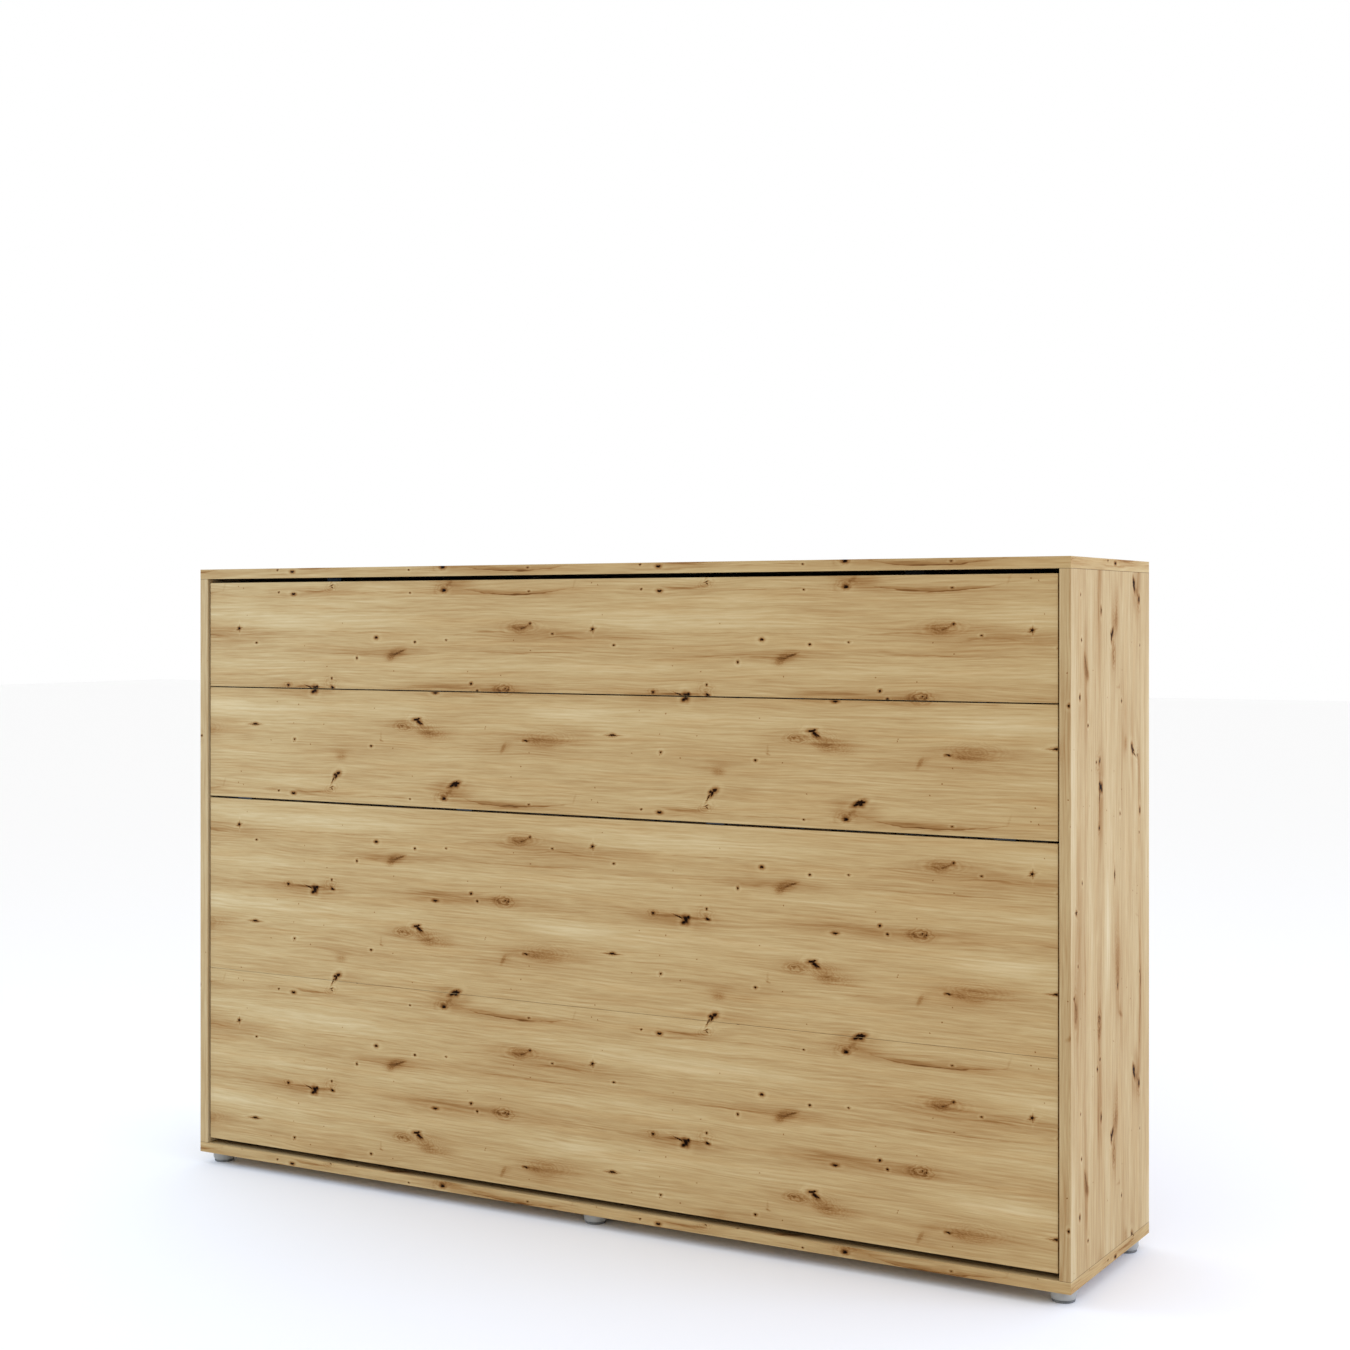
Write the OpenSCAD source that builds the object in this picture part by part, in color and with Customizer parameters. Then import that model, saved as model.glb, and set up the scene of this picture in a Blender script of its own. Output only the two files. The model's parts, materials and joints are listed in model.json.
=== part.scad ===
// Murphy wall bed: a cabinet on feet that holds a sideways-lying bed behind its fronts.
// X runs along the bed, the fronts face -Y, the wall is at +Y and Z is up from the floor.
// It is drawn closed. The origin is on the floor, below the cabinet's centre.

/* [Mattress] */
// Length of the mattress, along the cabinet
mattress_l = 2000; // [1600:10:2400]
// Width of the mattress, which stands upright when the bed is closed
mattress_w = 1200; // [1000:10:1440]
// Thickness of the mattress
mattress_t = 170; // [120:5:200]
// Radius of the mattress's corners, seen from above the open bed
mattress_corner_r = 45; // [20:5:90]

/* [Cabinet] */
// Depth of the cabinet, from its front edges to the wall
cab_d = 460; // [400:10:600]
// Thickness of the side, top and base boards
board_t = 22; // [16:1:28]
// Thickness of the two rails along the back
rail_t = 16; // [12:1:22]
// Height of each back rail
rail_h = 150; // [100:10:200]
// Thickness of the back panels
panel_t = 3; // [2:0.5:6]
// Room between each side and the mattress's end, where the lift works
lift_room = 33; // [33:1:60]

/* [Feet] */
// Diameter of a foot
foot_d = 50; // [30:1:60]
// Height of a foot, from the floor to the base board
foot_h = 27; // [20:1:60]
// Height of the dark pad that a foot stands on
foot_pad_h = 6; // [3:1:10]
// Distance from a cabinet side to the centre of its feet
foot_side = 31; // [31:1:120]
// Distance from the cabinet's front to the centre of the front feet
foot_front = 47; // [31:1:120]
// Distance from the cabinet's back to the centre of the back feet
foot_back = 52; // [31:1:120]

/* [Fronts] */
// Thickness of the front boards
front_t = 16; // [16:1:22]
// Distance from the cabinet's front edges back to the front boards
front_recess = 4.7; // [0:0.1:10]
// Gap between the front boards and each side
side_gap = 4.7; // [4.7:0.1:8]
// Gap under the top board
top_gap = 9.3; // [3:0.1:15]
// Gap over the base board, which the lower edge needs as it swings back
bottom_gap = 12; // [10:0.5:20]
// Height of the upper front board
upper_board_h = 238.7; // [150:0.1:300]
// Height of the front board that folds out as the leg
leg_board_h = 250.9; // [220:0.1:300]
// Gap over the leg board
leg_gap_above = 2.5; // [2.5:0.1:6]
// Gap under the leg board
leg_gap_below = 4.6; // [4:0.1:8]
// Gap between the two large front boards
board_joint = 0.4; // [0.2:0.1:3]

/* [Leg] */
// Distance from the leg board's upper edge down to its hinge line
leg_axis_drop = 12; // [12:0.5:20]
// Thickness of the glides under the leg board
glide_t = 3; // [2:0.5:3.5]
// Diameter of the leg's hinge pins
leg_pin_d = 5; // [4:0.5:5]
// Thickness of a hinge lug on the frame
lug_t = 5; // [3:0.5:8]

/* [Bed frame] */
// Outer size of the frame's square tubes
tube_w = 30; // [25:1:40]
// Wall thickness of the tubes
tube_wall = 2; // [1.5:0.5:3]
// Gap between the front boards and the frame, filled by the spacers
frame_gap = 12; // [10:1:15]
// Distance from the fronts' upper and lower edges to the frame
frame_inset = 15; // [10:1:30]
// Distance from the frame's lower edge up to the mattress
ledge_h = 12; // [10:1:20]
// Room over the mattress, which its upper edge needs as it swings out
swing_room = 42.7; // [40:0.1:80]

/* [Slats] */
// Number of slats
slat_count = 14; // [10:2:18]
// Width of a slat
slat_w = 53; // [40:1:60]
// Thickness of a slat
slat_t = 8; // [6:0.5:12]
// Height of a slat's bow towards the mattress
slat_bow = 10; // [5:0.5:15]

/* [Lift] */
// Distance from the front boards' faces back to the bed's pivot
pivot_back = 50; // [45:1:60]
// Diameter of the pivot pins
pivot_d = 14; // [10:1:16]
// Thickness of the plates on the cabinet's sides
plate_t = 4; // [3:0.5:4]
// Thickness of the arms on the bed frame
arm_t = 5; // [4:0.5:6]
// Distance from the pivot to each end of a gas spring
spring_r = 200; // [190:1:205]
// Angle between a gas spring's two ends, seen from the pivot with the bed closed
spring_spread = 165; // [162:1:168]
// Diameter of a gas spring's cylinder
spring_d = 18; // [15:1:18]
// Diameter of a gas spring's rod
rod_d = 8; // [6:1:8]
// Diameter of the studs that the gas springs turn on
stud_d = 8; // [6:1:9]

/* [Fastening] */
// Diameter of the wall-fixing holes
wall_hole_d = 10; // [8:1:12]
// Distance between the left and the right wall-fixing holes
wall_hole_x = 1400; // [800:50:1500]
// Distance between the lower and the upper wall-fixing holes
wall_hole_z = 80; // [50:5:90]
// Diameter of the cam locks in the boards
cam_d = 15; // [12:1:15]
// Diameter of the screws that hold the front boards
front_screw_d = 6; // [5:0.5:6]

/* [Hidden] */

$fn = 48;
// Overlap that makes a cut pass cleanly through a face
cut = 1;
// Radial clearance of a pin that turns in its hole
turn_fit = 0.05;
// Gap between pieces that pass or rest beside each other
rest_gap = 0.3;

// Cabinet
cab_w = mattress_l + 2 * (lift_room + board_t);
cab_h = mattress_w + 2 * board_t + bottom_gap + top_gap + 2 * frame_inset + ledge_h + swing_room;
front_y = -cab_d / 2;
wall_y = cab_d / 2;
in_x = cab_w / 2 - board_t;
base_z = foot_h + board_t;
top_z = foot_h + cab_h - board_t;
foot_x = cab_w / 2 - foot_side;
foot_front_y = front_y + foot_front;
foot_back_y = wall_y - foot_back;
foot_stud_d = 8;
foot_stud_in = 18;

// Back
rail_y = wall_y - rail_t;
panel_y = rail_y - panel_t;
strip_t = 2;
strip_w = 24;
wall_z = top_z - rail_h / 2;
washer_w = 40;
washer_t = 3;

// Cam locks: centre to board end, depth in the face, bolt's reach into the next board
cam_in = 34;
cam_depth = 12.5;
cam_bolt_d = 7;
cam_bolt_out = 11;
cam_y = cab_d / 2 - 80;
rail_cam_z = 30;

// Front boards
front_w = 2 * (in_x - side_gap);
face_y = front_y + front_recess;
board_back_y = face_y + front_t;
front_z0 = base_z + bottom_gap;
front_z1 = top_z - top_gap;
upper_z = front_z1 - upper_board_h;
leg_top_z = upper_z - leg_gap_above;
leg_z = leg_top_z - leg_board_h;
middle_top_z = leg_z - leg_gap_below;
large_board_h = (middle_top_z - front_z0 - board_joint) / 2;
middle_z = middle_top_z - large_board_h;
board_edge_r = 1;

// Leg hinge
leg_axis_y = face_y + front_t / 2;
leg_axis_z = leg_top_z - leg_axis_drop;
leg_reach = leg_axis_z - leg_z + glide_t;
lug_r = 4.4;
lug_pocket = lug_r + 0.8;
lug_side_gap = 1.5;
cheek_w = 14;
block_down = 22;
block_bridge = 10;
lug_flange_t = 3;
lug_flange_h = 60;
leg_pin_l = 30;

// The pivot is as high as the hanging leg needs to reach the floor with the bed open
floor_gap = 0.3;
pivot_y = face_y + pivot_back;
pivot_z = pivot_y - leg_axis_y + leg_reach + floor_gap;

// Frame
frame_x = mattress_l / 2;
frame_y0 = board_back_y + frame_gap;
frame_y1 = frame_y0 + tube_w;
frame_z0 = front_z0 + frame_inset;
frame_z1 = front_z1 - frame_inset;
end_tube_x = frame_x - tube_w / 2;
tube_screw_hole_d = front_screw_d + 0.4;
screw_edge = 60;
spacer_d = 28;
screw_head_d = 12;
screw_head_t = 4;
screw_in_board = 11;

// Slats and mattress
mattress_y0 = frame_y1 + slat_t + slat_bow + 3.3;
mattress_y1 = mattress_y0 + mattress_t;
mattress_z0 = frame_z0 + ledge_h;
mattress_z1 = mattress_z0 + mattress_w;
slat_crown_y = mattress_y0 - rest_gap;
slat_end_in = 6;
slat_z0 = frame_z0 + slat_end_in;
slat_z1 = frame_z1 - slat_end_in;
slat_edge = 70;
slat_pitch = (mattress_l - 2 * slat_edge) / (slat_count - 1);
slat_steps = 16;
holder_w = slat_w + 8;
holder_h = tube_w - 4;
holder_t = 15;
stop_w = 60;
stop_t = 4;
stop_lip = 75;
strap_w = 40;
strap_t = 1.5;
strap_x = 3 * slat_pitch;
anchor_t = 2;

// Lift
plate_x = in_x - plate_t;
arm_x = frame_x + arm_t;
bush_wall = 2;
bush_flange_r = pivot_d / 2 + 5;
bush_flange_t = 1.5;
spring_x = (arm_x + bush_flange_t + plate_x) / 2;
eye_t = 8;
eye_r = 9;
clip_t = 1.2;
shoulder_d = stud_d + 4;
spring_top_y = pivot_y + spring_r * cos(spring_spread - 90);
spring_top_z = pivot_z + spring_r * sin(spring_spread - 90);
spring_low_z = pivot_z - spring_r;
spring_tilt = (spring_spread - 180) / 2;
spring_shut = 2 * spring_r * sin(spring_spread / 2);
spring_open = 2 * spring_r * sin(spring_spread / 2 - 45);
cylinder_l = spring_open - eye_r - 5;
cylinder_wall = 1.5;
cylinder_bore_start = 25;
guide_l = 20;
piston_l = 8;
rod_l = spring_open - cylinder_bore_start - 3.5;
arm_w = 36;
arm_up = 115;
arm_bolt_zs = [40, 70, 100];
arm_bolt_d = 8;
plate_front = 32;
plate_back = 82;
plate_down = 50;
plate_up = 30;
plate_screw_d = 5;
plate_screw_l = 13;
plate_screw_head_d = 10;
plate_screw_head_t = 2.6;
bumper_d = 14;
bumper_t = 6;
bumper_z = frame_z1 - 9;
bumper_x = 5 * slat_pitch;
bracket_t = 3;
bracket_w = 40;

function slat_x(i) = (i - (slat_count - 1) / 2) * slat_pitch;
function bow_at(t) = slat_bow * (1 - 4 * (t - 0.5) * (t - 0.5));

// Positions, in Y and Z, of the six screws of a cabinet side's plate
plate_screws_yz = [
    for (y = [pivot_y - plate_front + 10, pivot_y + plate_back - 10])
        for (t = [0, 0.5, 1])
            [y, pivot_z - plate_down + 12 + t * (spring_top_z - pivot_z + plate_down + plate_up - 24)]
];

// Positions, in X and Z, of the screws that hold the three fixed front boards
front_screws_xz = [
    for (x = [-end_tube_x, 0, end_tube_x])
        for (board = [[front_z0, large_board_h], [middle_z, large_board_h], [upper_z, upper_board_h]])
            for (z = [board[0] + screw_edge, board[0] + board[1] - screw_edge])
                [x, z]
];

// ---- Shapes that repeat ----

// The child and its mirror image across the bed's middle
module both_ends() {
    children();
    mirror([1, 0, 0]) children();
}

// A drawing in Y and Z, made t thick from x = x0
module yz_plate(x0, t) {
    translate([x0, 0, 0]) rotate([90, 0, 90]) linear_extrude(t) children();
}

// A round bar along X from x0 to x1
module x_bar(d, x0, x1, y, z) {
    translate([x0, y, z]) rotate([0, 90, 0]) cylinder(h = x1 - x0, d = d);
}

// A round bar along Y from y0 to y1
module y_bar(d, y0, y1, x, z) {
    translate([x, y0, z]) rotate([-90, 0, 0]) cylinder(h = y1 - y0, d = d);
}

// A rectangle with round corners, from its lower corner
module round_rect(w, h, r) {
    translate([r, 0]) square([w - 2 * r, h]);
    translate([0, r]) square([w, h - 2 * r]);
    for (x = [r, w - r]) for (y = [r, h - r]) translate([x, y]) circle(r);
}

// A front board: full width, with its long edges rounded by the edge band
module front_board(z, h) {
    translate([-front_w / 2, face_y, z])
        rotate([90, 0, 90]) linear_extrude(front_w) round_rect(front_t, h, board_edge_r);
}

// A square tube along Z or along X, open at its ends
module tube_z(x, z0, z1) {
    difference() {
        translate([x - tube_w / 2, frame_y0, z0]) cube([tube_w, tube_w, z1 - z0]);
        translate([x - tube_w / 2 + tube_wall, frame_y0 + tube_wall, z0 - cut])
            cube([tube_w - 2 * tube_wall, tube_w - 2 * tube_wall, z1 - z0 + 2 * cut]);
        for (p = front_screws_xz)
            if (abs(p[0] - x) < 1) y_bar(tube_screw_hole_d, frame_y0 - cut, frame_y1 + cut, x, p[1]);
    }
}

module tube_x(z0) {
    half = frame_x - tube_w;
    difference() {
        translate([-half, frame_y0, z0]) cube([2 * half, tube_w, tube_w]);
        translate([-half - cut, frame_y0 + tube_wall, z0 + tube_wall])
            cube([2 * half + 2 * cut, tube_w - 2 * tube_wall, tube_w - 2 * tube_wall]);
    }
}

// ---- Cabinet ----

// Sinks for the cam locks on the right side's inner face and the bolts that they pull
module side_cam_holes() {
    for (y = [-cam_y, cam_y]) {
        x_bar(cam_d, in_x - cut, in_x + cam_depth, y, base_z + cam_in);
        x_bar(cam_d, in_x - cut, in_x + cam_depth, y, top_z - cam_in);
        translate([in_x + board_t / 2, y, base_z - cut]) cylinder(h = cam_in + cut, d = cam_bolt_d);
        translate([in_x + board_t / 2, y, top_z - cam_in]) cylinder(h = cam_in + cut, d = cam_bolt_d);
    }
    for (z = rail_bolt_zs) x_bar(cam_bolt_d, in_x - cut, in_x + cam_bolt_out, rail_y + rail_t / 2, z);
}

rail_bolt_zs = [
    base_z + rail_cam_z, base_z + rail_h - rail_cam_z,
    top_z - rail_h + rail_cam_z, top_z - rail_cam_z
];

module side_board() {
    difference() {
        translate([in_x, front_y, base_z]) cube([board_t, cab_d, top_z - base_z]);
        side_cam_holes();
        for (p = plate_screws_yz) x_bar(plate_screw_d, in_x - cut, in_x + plate_screw_l, p[0], p[1]);
    }
}

module side_right() { color("burlywood") side_board(); }
module side_left() { color("burlywood") mirror([1, 0, 0]) side_board(); }

// Holes in the top and base boards for the cam bolts
module end_bolt_holes(z0) {
    both_ends()
        for (y = [-cam_y, cam_y])
            translate([in_x + board_t / 2, y, z0]) cylinder(h = cam_bolt_out + cut, d = cam_bolt_d);
}

module top_board() {
    color("tan") difference() {
        translate([-cab_w / 2, front_y, top_z]) cube([cab_w, cab_d, board_t]);
        end_bolt_holes(top_z - cut);
    }
}

module base_board() {
    color("tan") difference() {
        translate([-cab_w / 2, front_y, foot_h]) cube([cab_w, cab_d, board_t]);
        end_bolt_holes(base_z - cam_bolt_out);
        at_feet() translate([0, 0, foot_h - cut]) cylinder(h = foot_stud_in + cut, d = foot_stud_d);
    }
}

// A back rail, with the sinks of its four cam locks
module back_rail(z0) {
    difference() {
        translate([-in_x, rail_y, z0]) cube([2 * in_x, rail_t, rail_h]);
        both_ends()
            for (z = [z0 + rail_cam_z, z0 + rail_h - rail_cam_z]) {
                y_bar(cam_d, rail_y - cut, rail_y + cam_depth, in_x - cam_in, z);
                x_bar(cam_bolt_d, in_x - cam_in, in_x + cut, rail_y + rail_t / 2, z);
            }
    }
}

module wall_holes() {
    for (x = [-wall_hole_x / 2, wall_hole_x / 2])
        for (z = [wall_z - wall_hole_z / 2, wall_z + wall_hole_z / 2])
            y_bar(wall_hole_d, panel_y - washer_t - cut, wall_y + cut, x, z);
}

module back_rail_upper() {
    color("tan") difference() {
        back_rail(top_z - rail_h);
        wall_holes();
    }
}

module back_rail_lower() { color("tan") back_rail(base_z); }

// A thin back panel, notched where the rails' cam locks are turned
module back_panel() {
    difference() {
        translate([strip_t / 2, panel_y, base_z])
            cube([in_x - strip_t / 2 - cam_in - cam_d, panel_t, top_z - base_z]);
        wall_holes();
    }
    translate([in_x - cam_in - cam_d, panel_y, base_z + rail_h])
        cube([cam_in + cam_d, panel_t, top_z - base_z - 2 * rail_h]);
}

module back_panel_right() { color("linen") back_panel(); }
module back_panel_left() { color("linen") mirror([1, 0, 0]) back_panel(); }

// The strip joins the panels: a web between them and a cap on their inner faces
module back_panel_strip() {
    color("whitesmoke") {
        translate([-strip_t / 2, panel_y - strip_t, base_z]) cube([strip_t, panel_t + strip_t, top_z - base_z]);
        translate([-strip_w / 2, panel_y - strip_t, base_z]) cube([strip_w, strip_t, top_z - base_z]);
    }
}

module at_feet() {
    for (x = [-foot_x, 0, foot_x])
        for (y = [foot_front_y, foot_back_y])
            translate([x, y, 0]) children();
}

// A foot: a drum that narrows a little towards its pad
module foot(x, y) {
    lip = 2;
    color("lightgray") translate([x, y, 0]) rotate_extrude()
        polygon([
            [0, foot_pad_h], [foot_d / 2 - lip, foot_pad_h], [foot_d / 2, foot_pad_h + 3 * lip],
            [foot_d / 2, foot_h], [0, foot_h]
        ]);
}

module foot_front_left() { foot(-foot_x, foot_front_y); }
module foot_front_middle() { foot(0, foot_front_y); }
module foot_front_right() { foot(foot_x, foot_front_y); }
module foot_back_left() { foot(-foot_x, foot_back_y); }
module foot_back_middle() { foot(0, foot_back_y); }
module foot_back_right() { foot(foot_x, foot_back_y); }

module foot_pads() {
    pad_r = foot_d / 2 - 3;
    edge_r = 2;
    color("dimgray") at_feet() rotate_extrude() {
        square([pad_r - edge_r, foot_pad_h]);
        translate([0, edge_r]) square([pad_r, foot_pad_h - edge_r]);
        translate([pad_r - edge_r, edge_r]) circle(edge_r);
    }
}

module foot_studs() {
    color("silver") at_feet()
        translate([0, 0, foot_h]) cylinder(h = foot_stud_in, d = foot_stud_d);
}

// A cam lock along +X with the cross slot that turns it
module cam_lock() {
    slot_w = 2;
    slot_l = cam_d - 5;
    rotate([0, 90, 0]) difference() {
        cylinder(h = cam_depth, d = cam_d);
        for (a = [0, 90])
            rotate([0, 0, a]) translate([-slot_l / 2, -slot_w / 2, -cut]) cube([slot_l, slot_w, 3 + cut]);
    }
}

module cam_locks() {
    color("silver") both_ends() {
        for (y = [-cam_y, cam_y])
            for (z = [base_z + cam_in, top_z - cam_in])
                translate([in_x, y, z]) cam_lock();
        for (z = rail_bolt_zs)
            translate([in_x - cam_in, rail_y, z]) rotate([0, 0, 90]) cam_lock();
    }
}

module cam_bolts() {
    bolt_l = cam_in - cam_d / 2 + cam_bolt_out;
    color("gray") both_ends() {
        for (y = [-cam_y, cam_y]) {
            translate([in_x + board_t / 2, y, base_z - cam_bolt_out]) cylinder(h = bolt_l, d = cam_bolt_d);
            translate([in_x + board_t / 2, y, top_z + cam_bolt_out - bolt_l])
                cylinder(h = bolt_l, d = cam_bolt_d);
        }
        for (z = rail_bolt_zs)
            x_bar(cam_bolt_d, in_x - cam_in + cam_d / 2, in_x + cam_bolt_out, rail_y + rail_t / 2, z);
    }
}

module wall_washers() {
    color("silver") difference() {
        for (x = [-wall_hole_x / 2, wall_hole_x / 2])
            for (z = [wall_z - wall_hole_z / 2, wall_z + wall_hole_z / 2])
                translate([x - washer_w / 2, panel_y - washer_t, z - washer_w / 2])
                    cube([washer_w, washer_t, washer_w]);
        wall_holes();
    }
}

// ---- Lift, cabinet's half ----

// A countersunk head or its seat, d wide at the plate's face
module plate_screw_cone(d, p) {
    translate([plate_x, p[0], p[1]]) rotate([0, 90, 0])
        cylinder(h = plate_screw_head_t, d1 = d, d2 = plate_screw_d);
}

// A side's plate, which carries the pivot pin and the gas spring's upper stud
module pivot_plate() {
    plate_h = spring_top_z - pivot_z + plate_down + plate_up;
    difference() {
        yz_plate(plate_x, plate_t)
            translate([pivot_y - plate_front, pivot_z - plate_down])
                round_rect(plate_front + plate_back, plate_h, 8);
        x_bar(pivot_d, plate_x - cut, in_x + cut, pivot_y, pivot_z);
        x_bar(stud_d, plate_x - cut, in_x + cut, spring_top_y, spring_top_z);
        for (p = plate_screws_yz) {
            x_bar(plate_screw_d, plate_x - cut, in_x + cut, p[0], p[1]);
            plate_screw_cone(plate_screw_head_d, p);
        }
    }
}

module pivot_plate_right() { color("silver") pivot_plate(); }
module pivot_plate_left() { color("silver") mirror([1, 0, 0]) pivot_plate(); }

// The pivot pins, each with a collar against its plate
module pivot_pins() {
    collar_t = 4;
    color("gray") both_ends() {
        x_bar(pivot_d, frame_x + 0.5, in_x, pivot_y, pivot_z);
        x_bar(pivot_d + 8, plate_x - collar_t, plate_x, pivot_y, pivot_z);
    }
}

// A stud from its root at x0 to its tip at x1, with a shoulder and a clip either side of the eye
module spring_stud(x0, x1, face_x, y, z) {
    side = x1 > x0 ? 1 : -1;
    shoulder_x = spring_x - side * (eye_t / 2 + 0.5);
    clip_x = spring_x + side * (eye_t / 2 + 0.5);
    x_bar(stud_d, min(x0, x1), max(x0, x1), y, z);
    x_bar(shoulder_d, min(face_x, shoulder_x), max(face_x, shoulder_x), y, z);
    x_bar(shoulder_d, min(clip_x, clip_x + side * clip_t), max(clip_x, clip_x + side * clip_t), y, z);
}

module cabinet_spring_studs() {
    tip_x = spring_x - eye_t / 2 - 4;
    color("gray") both_ends() spring_stud(in_x, tip_x, plate_x, spring_top_y, spring_top_z);
}

module plate_screws() {
    color("silver") both_ends()
        for (p = plate_screws_yz) {
            x_bar(plate_screw_d, plate_x + 0.5, in_x + plate_screw_l, p[0], p[1]);
            plate_screw_cone(plate_screw_head_d - 0.2, p);
        }
}

// Angle brackets under the top board, which carry the bumpers that the closed frame rests on
module bumper_brackets() {
    foot_l = 55;
    back_y = frame_y1 + rest_gap + bumper_t;
    down_z = bumper_z - bumper_d / 2 - 1;
    color("silver") both_ends() {
        translate([bumper_x - bracket_w / 2, back_y, top_z - bracket_t]) cube([bracket_w, foot_l, bracket_t]);
        translate([bumper_x - bracket_w / 2, back_y, down_z]) cube([bracket_w, bracket_t, top_z - down_z]);
    }
}

module bumpers() {
    color("black") both_ends()
        y_bar(bumper_d, frame_y1 + rest_gap, frame_y1 + rest_gap + bumper_t, bumper_x, bumper_z);
}

// ---- Bed: fronts and frame ----

// Blind holes in a front board for the screws from the frame
module board_with_holes(z, h) {
    difference() {
        front_board(z, h);
        for (p = front_screws_xz)
            if (p[1] > z && p[1] < z + h)
                y_bar(front_screw_d, board_back_y - screw_in_board, board_back_y + cut, p[0], p[1]);
    }
}

module front_board_lower() { color("burlywood") board_with_holes(front_z0, large_board_h); }
module front_board_middle() { color("burlywood") board_with_holes(middle_z, large_board_h); }
module front_board_upper() { color("burlywood") board_with_holes(upper_z, upper_board_h); }

module frame_rail_lower() { color("darkslategray") tube_x(frame_z0); }
module frame_rail_upper() { color("darkslategray") tube_x(frame_z1 - tube_w); }
module frame_end_left() { color("darkslategray") tube_z(-end_tube_x, frame_z0, frame_z1); }
module frame_end_right() { color("darkslategray") tube_z(end_tube_x, frame_z0, frame_z1); }

module frame_centre_beam() {
    color("darkslategray") tube_z(0, frame_z0 + tube_w, frame_z1 - tube_w);
}

// Plugs in the ends of the two end tubes
module tube_caps() {
    plug = tube_w - 2 * tube_wall;
    plug_l = 12;
    cap_t = 2;
    color("dimgray") both_ends()
        for (end = [[frame_z0, 1], [frame_z1, -1]]) {
            z_in = end[1] > 0 ? end[0] : end[0] - plug_l;
            z_cap = end[1] > 0 ? end[0] - cap_t : end[0];
            translate([end_tube_x - plug / 2, frame_y0 + tube_wall, z_in]) cube([plug, plug, plug_l]);
            translate([end_tube_x - tube_w / 2, frame_y0, z_cap]) cube([tube_w, tube_w, cap_t]);
        }
}

module front_spacers() {
    color("dimgray") for (p = front_screws_xz)
        difference() {
            y_bar(spacer_d, board_back_y, frame_y0, p[0], p[1]);
            y_bar(tube_screw_hole_d, board_back_y - cut, frame_y0 + cut, p[0], p[1]);
        }
}

module front_screws() {
    color("silver") for (p = front_screws_xz) {
        y_bar(front_screw_d, board_back_y - screw_in_board, frame_y1 + 1, p[0], p[1]);
        y_bar(screw_head_d, frame_y1, frame_y1 + screw_head_t, p[0], p[1]);
    }
}

// ---- Lift, bed's half ----

// An arm on the frame's end, from the gas spring's lower stud up past the pivot
module arm() {
    difference() {
        yz_plate(frame_x, arm_t)
            translate([frame_y0, frame_z0])
                round_rect(arm_w, pivot_z + arm_up - frame_z0, 8);
        x_bar(pivot_d + 2 * bush_wall, frame_x - cut, arm_x + cut, pivot_y, pivot_z);
        x_bar(stud_d, frame_x - cut, arm_x + cut, pivot_y, spring_low_z);
        for (dz = arm_bolt_zs)
            x_bar(arm_bolt_d, frame_x - cut, arm_x + cut, frame_y0 + tube_w / 2, pivot_z + dz);
    }
}

module arm_right() { color("silver") arm(); }
module arm_left() { color("silver") mirror([1, 0, 0]) arm(); }

module arm_bolts() {
    head_d = 14;
    head_t = 4;
    color("gray") both_ends()
        for (dz = arm_bolt_zs) {
            x_bar(arm_bolt_d, frame_x, arm_x, frame_y0 + tube_w / 2, pivot_z + dz);
            x_bar(head_d, arm_x, arm_x + head_t, frame_y0 + tube_w / 2, pivot_z + dz);
        }
}

// Flanged bushes that the pivot pins turn in
module pivot_bushes() {
    color("ivory") both_ends() difference() {
        union() {
            x_bar(pivot_d + 2 * bush_wall, frame_x + 0.2, arm_x, pivot_y, pivot_z);
            x_bar(2 * bush_flange_r, arm_x, arm_x + bush_flange_t, pivot_y, pivot_z);
        }
        x_bar(pivot_d + 2 * turn_fit, frame_x - cut, arm_x + bush_flange_t + cut, pivot_y, pivot_z);
    }
}

module bed_spring_studs() {
    tip_x = spring_x + eye_t / 2 + 4;
    color("gray") both_ends() spring_stud(frame_x, tip_x, arm_x, pivot_y, spring_low_z);
}

// ---- Bed: slats, mattress and what holds it ----

// A slat's outline in Y and Z, bowed towards the mattress, grown by g
module slat_outline(g) {
    function y_at(t) = slat_crown_y - slat_bow + bow_at(t);
    function z_at(t) = slat_z0 + t * (slat_z1 - slat_z0);
    face = [for (i = [0:slat_steps]) [y_at(i / slat_steps) + g, z_at(i / slat_steps)]];
    back = [for (i = [slat_steps:-1:0]) [y_at(i / slat_steps) - slat_t - g, z_at(i / slat_steps)]];
    polygon(concat(face, back));
}

module slats() {
    color("wheat") for (i = [0:slat_count - 1])
        yz_plate(slat_x(i) - slat_w / 2, slat_w) slat_outline(0);
}

// Sleeves on the two long rails that hold the slats' ends
module slat_holders() {
    slat_fit = 0.2;
    color("dimgray") for (i = [0:slat_count - 1])
        for (z = [frame_z0 + 2, frame_z1 - 2 - holder_h])
            difference() {
                translate([slat_x(i) - holder_w / 2, frame_y1, z]) cube([holder_w, holder_t, holder_h]);
                yz_plate(slat_x(i) - slat_w / 2 - slat_fit, slat_w + 2 * slat_fit) slat_outline(slat_fit);
            }
}

module mattress() {
    color("white") translate([-mattress_l / 2, mattress_y1, mattress_z0])
        rotate([90, 0, 0]) linear_extrude(mattress_t)
            round_rect(mattress_l, mattress_w, mattress_corner_r);
}

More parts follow.
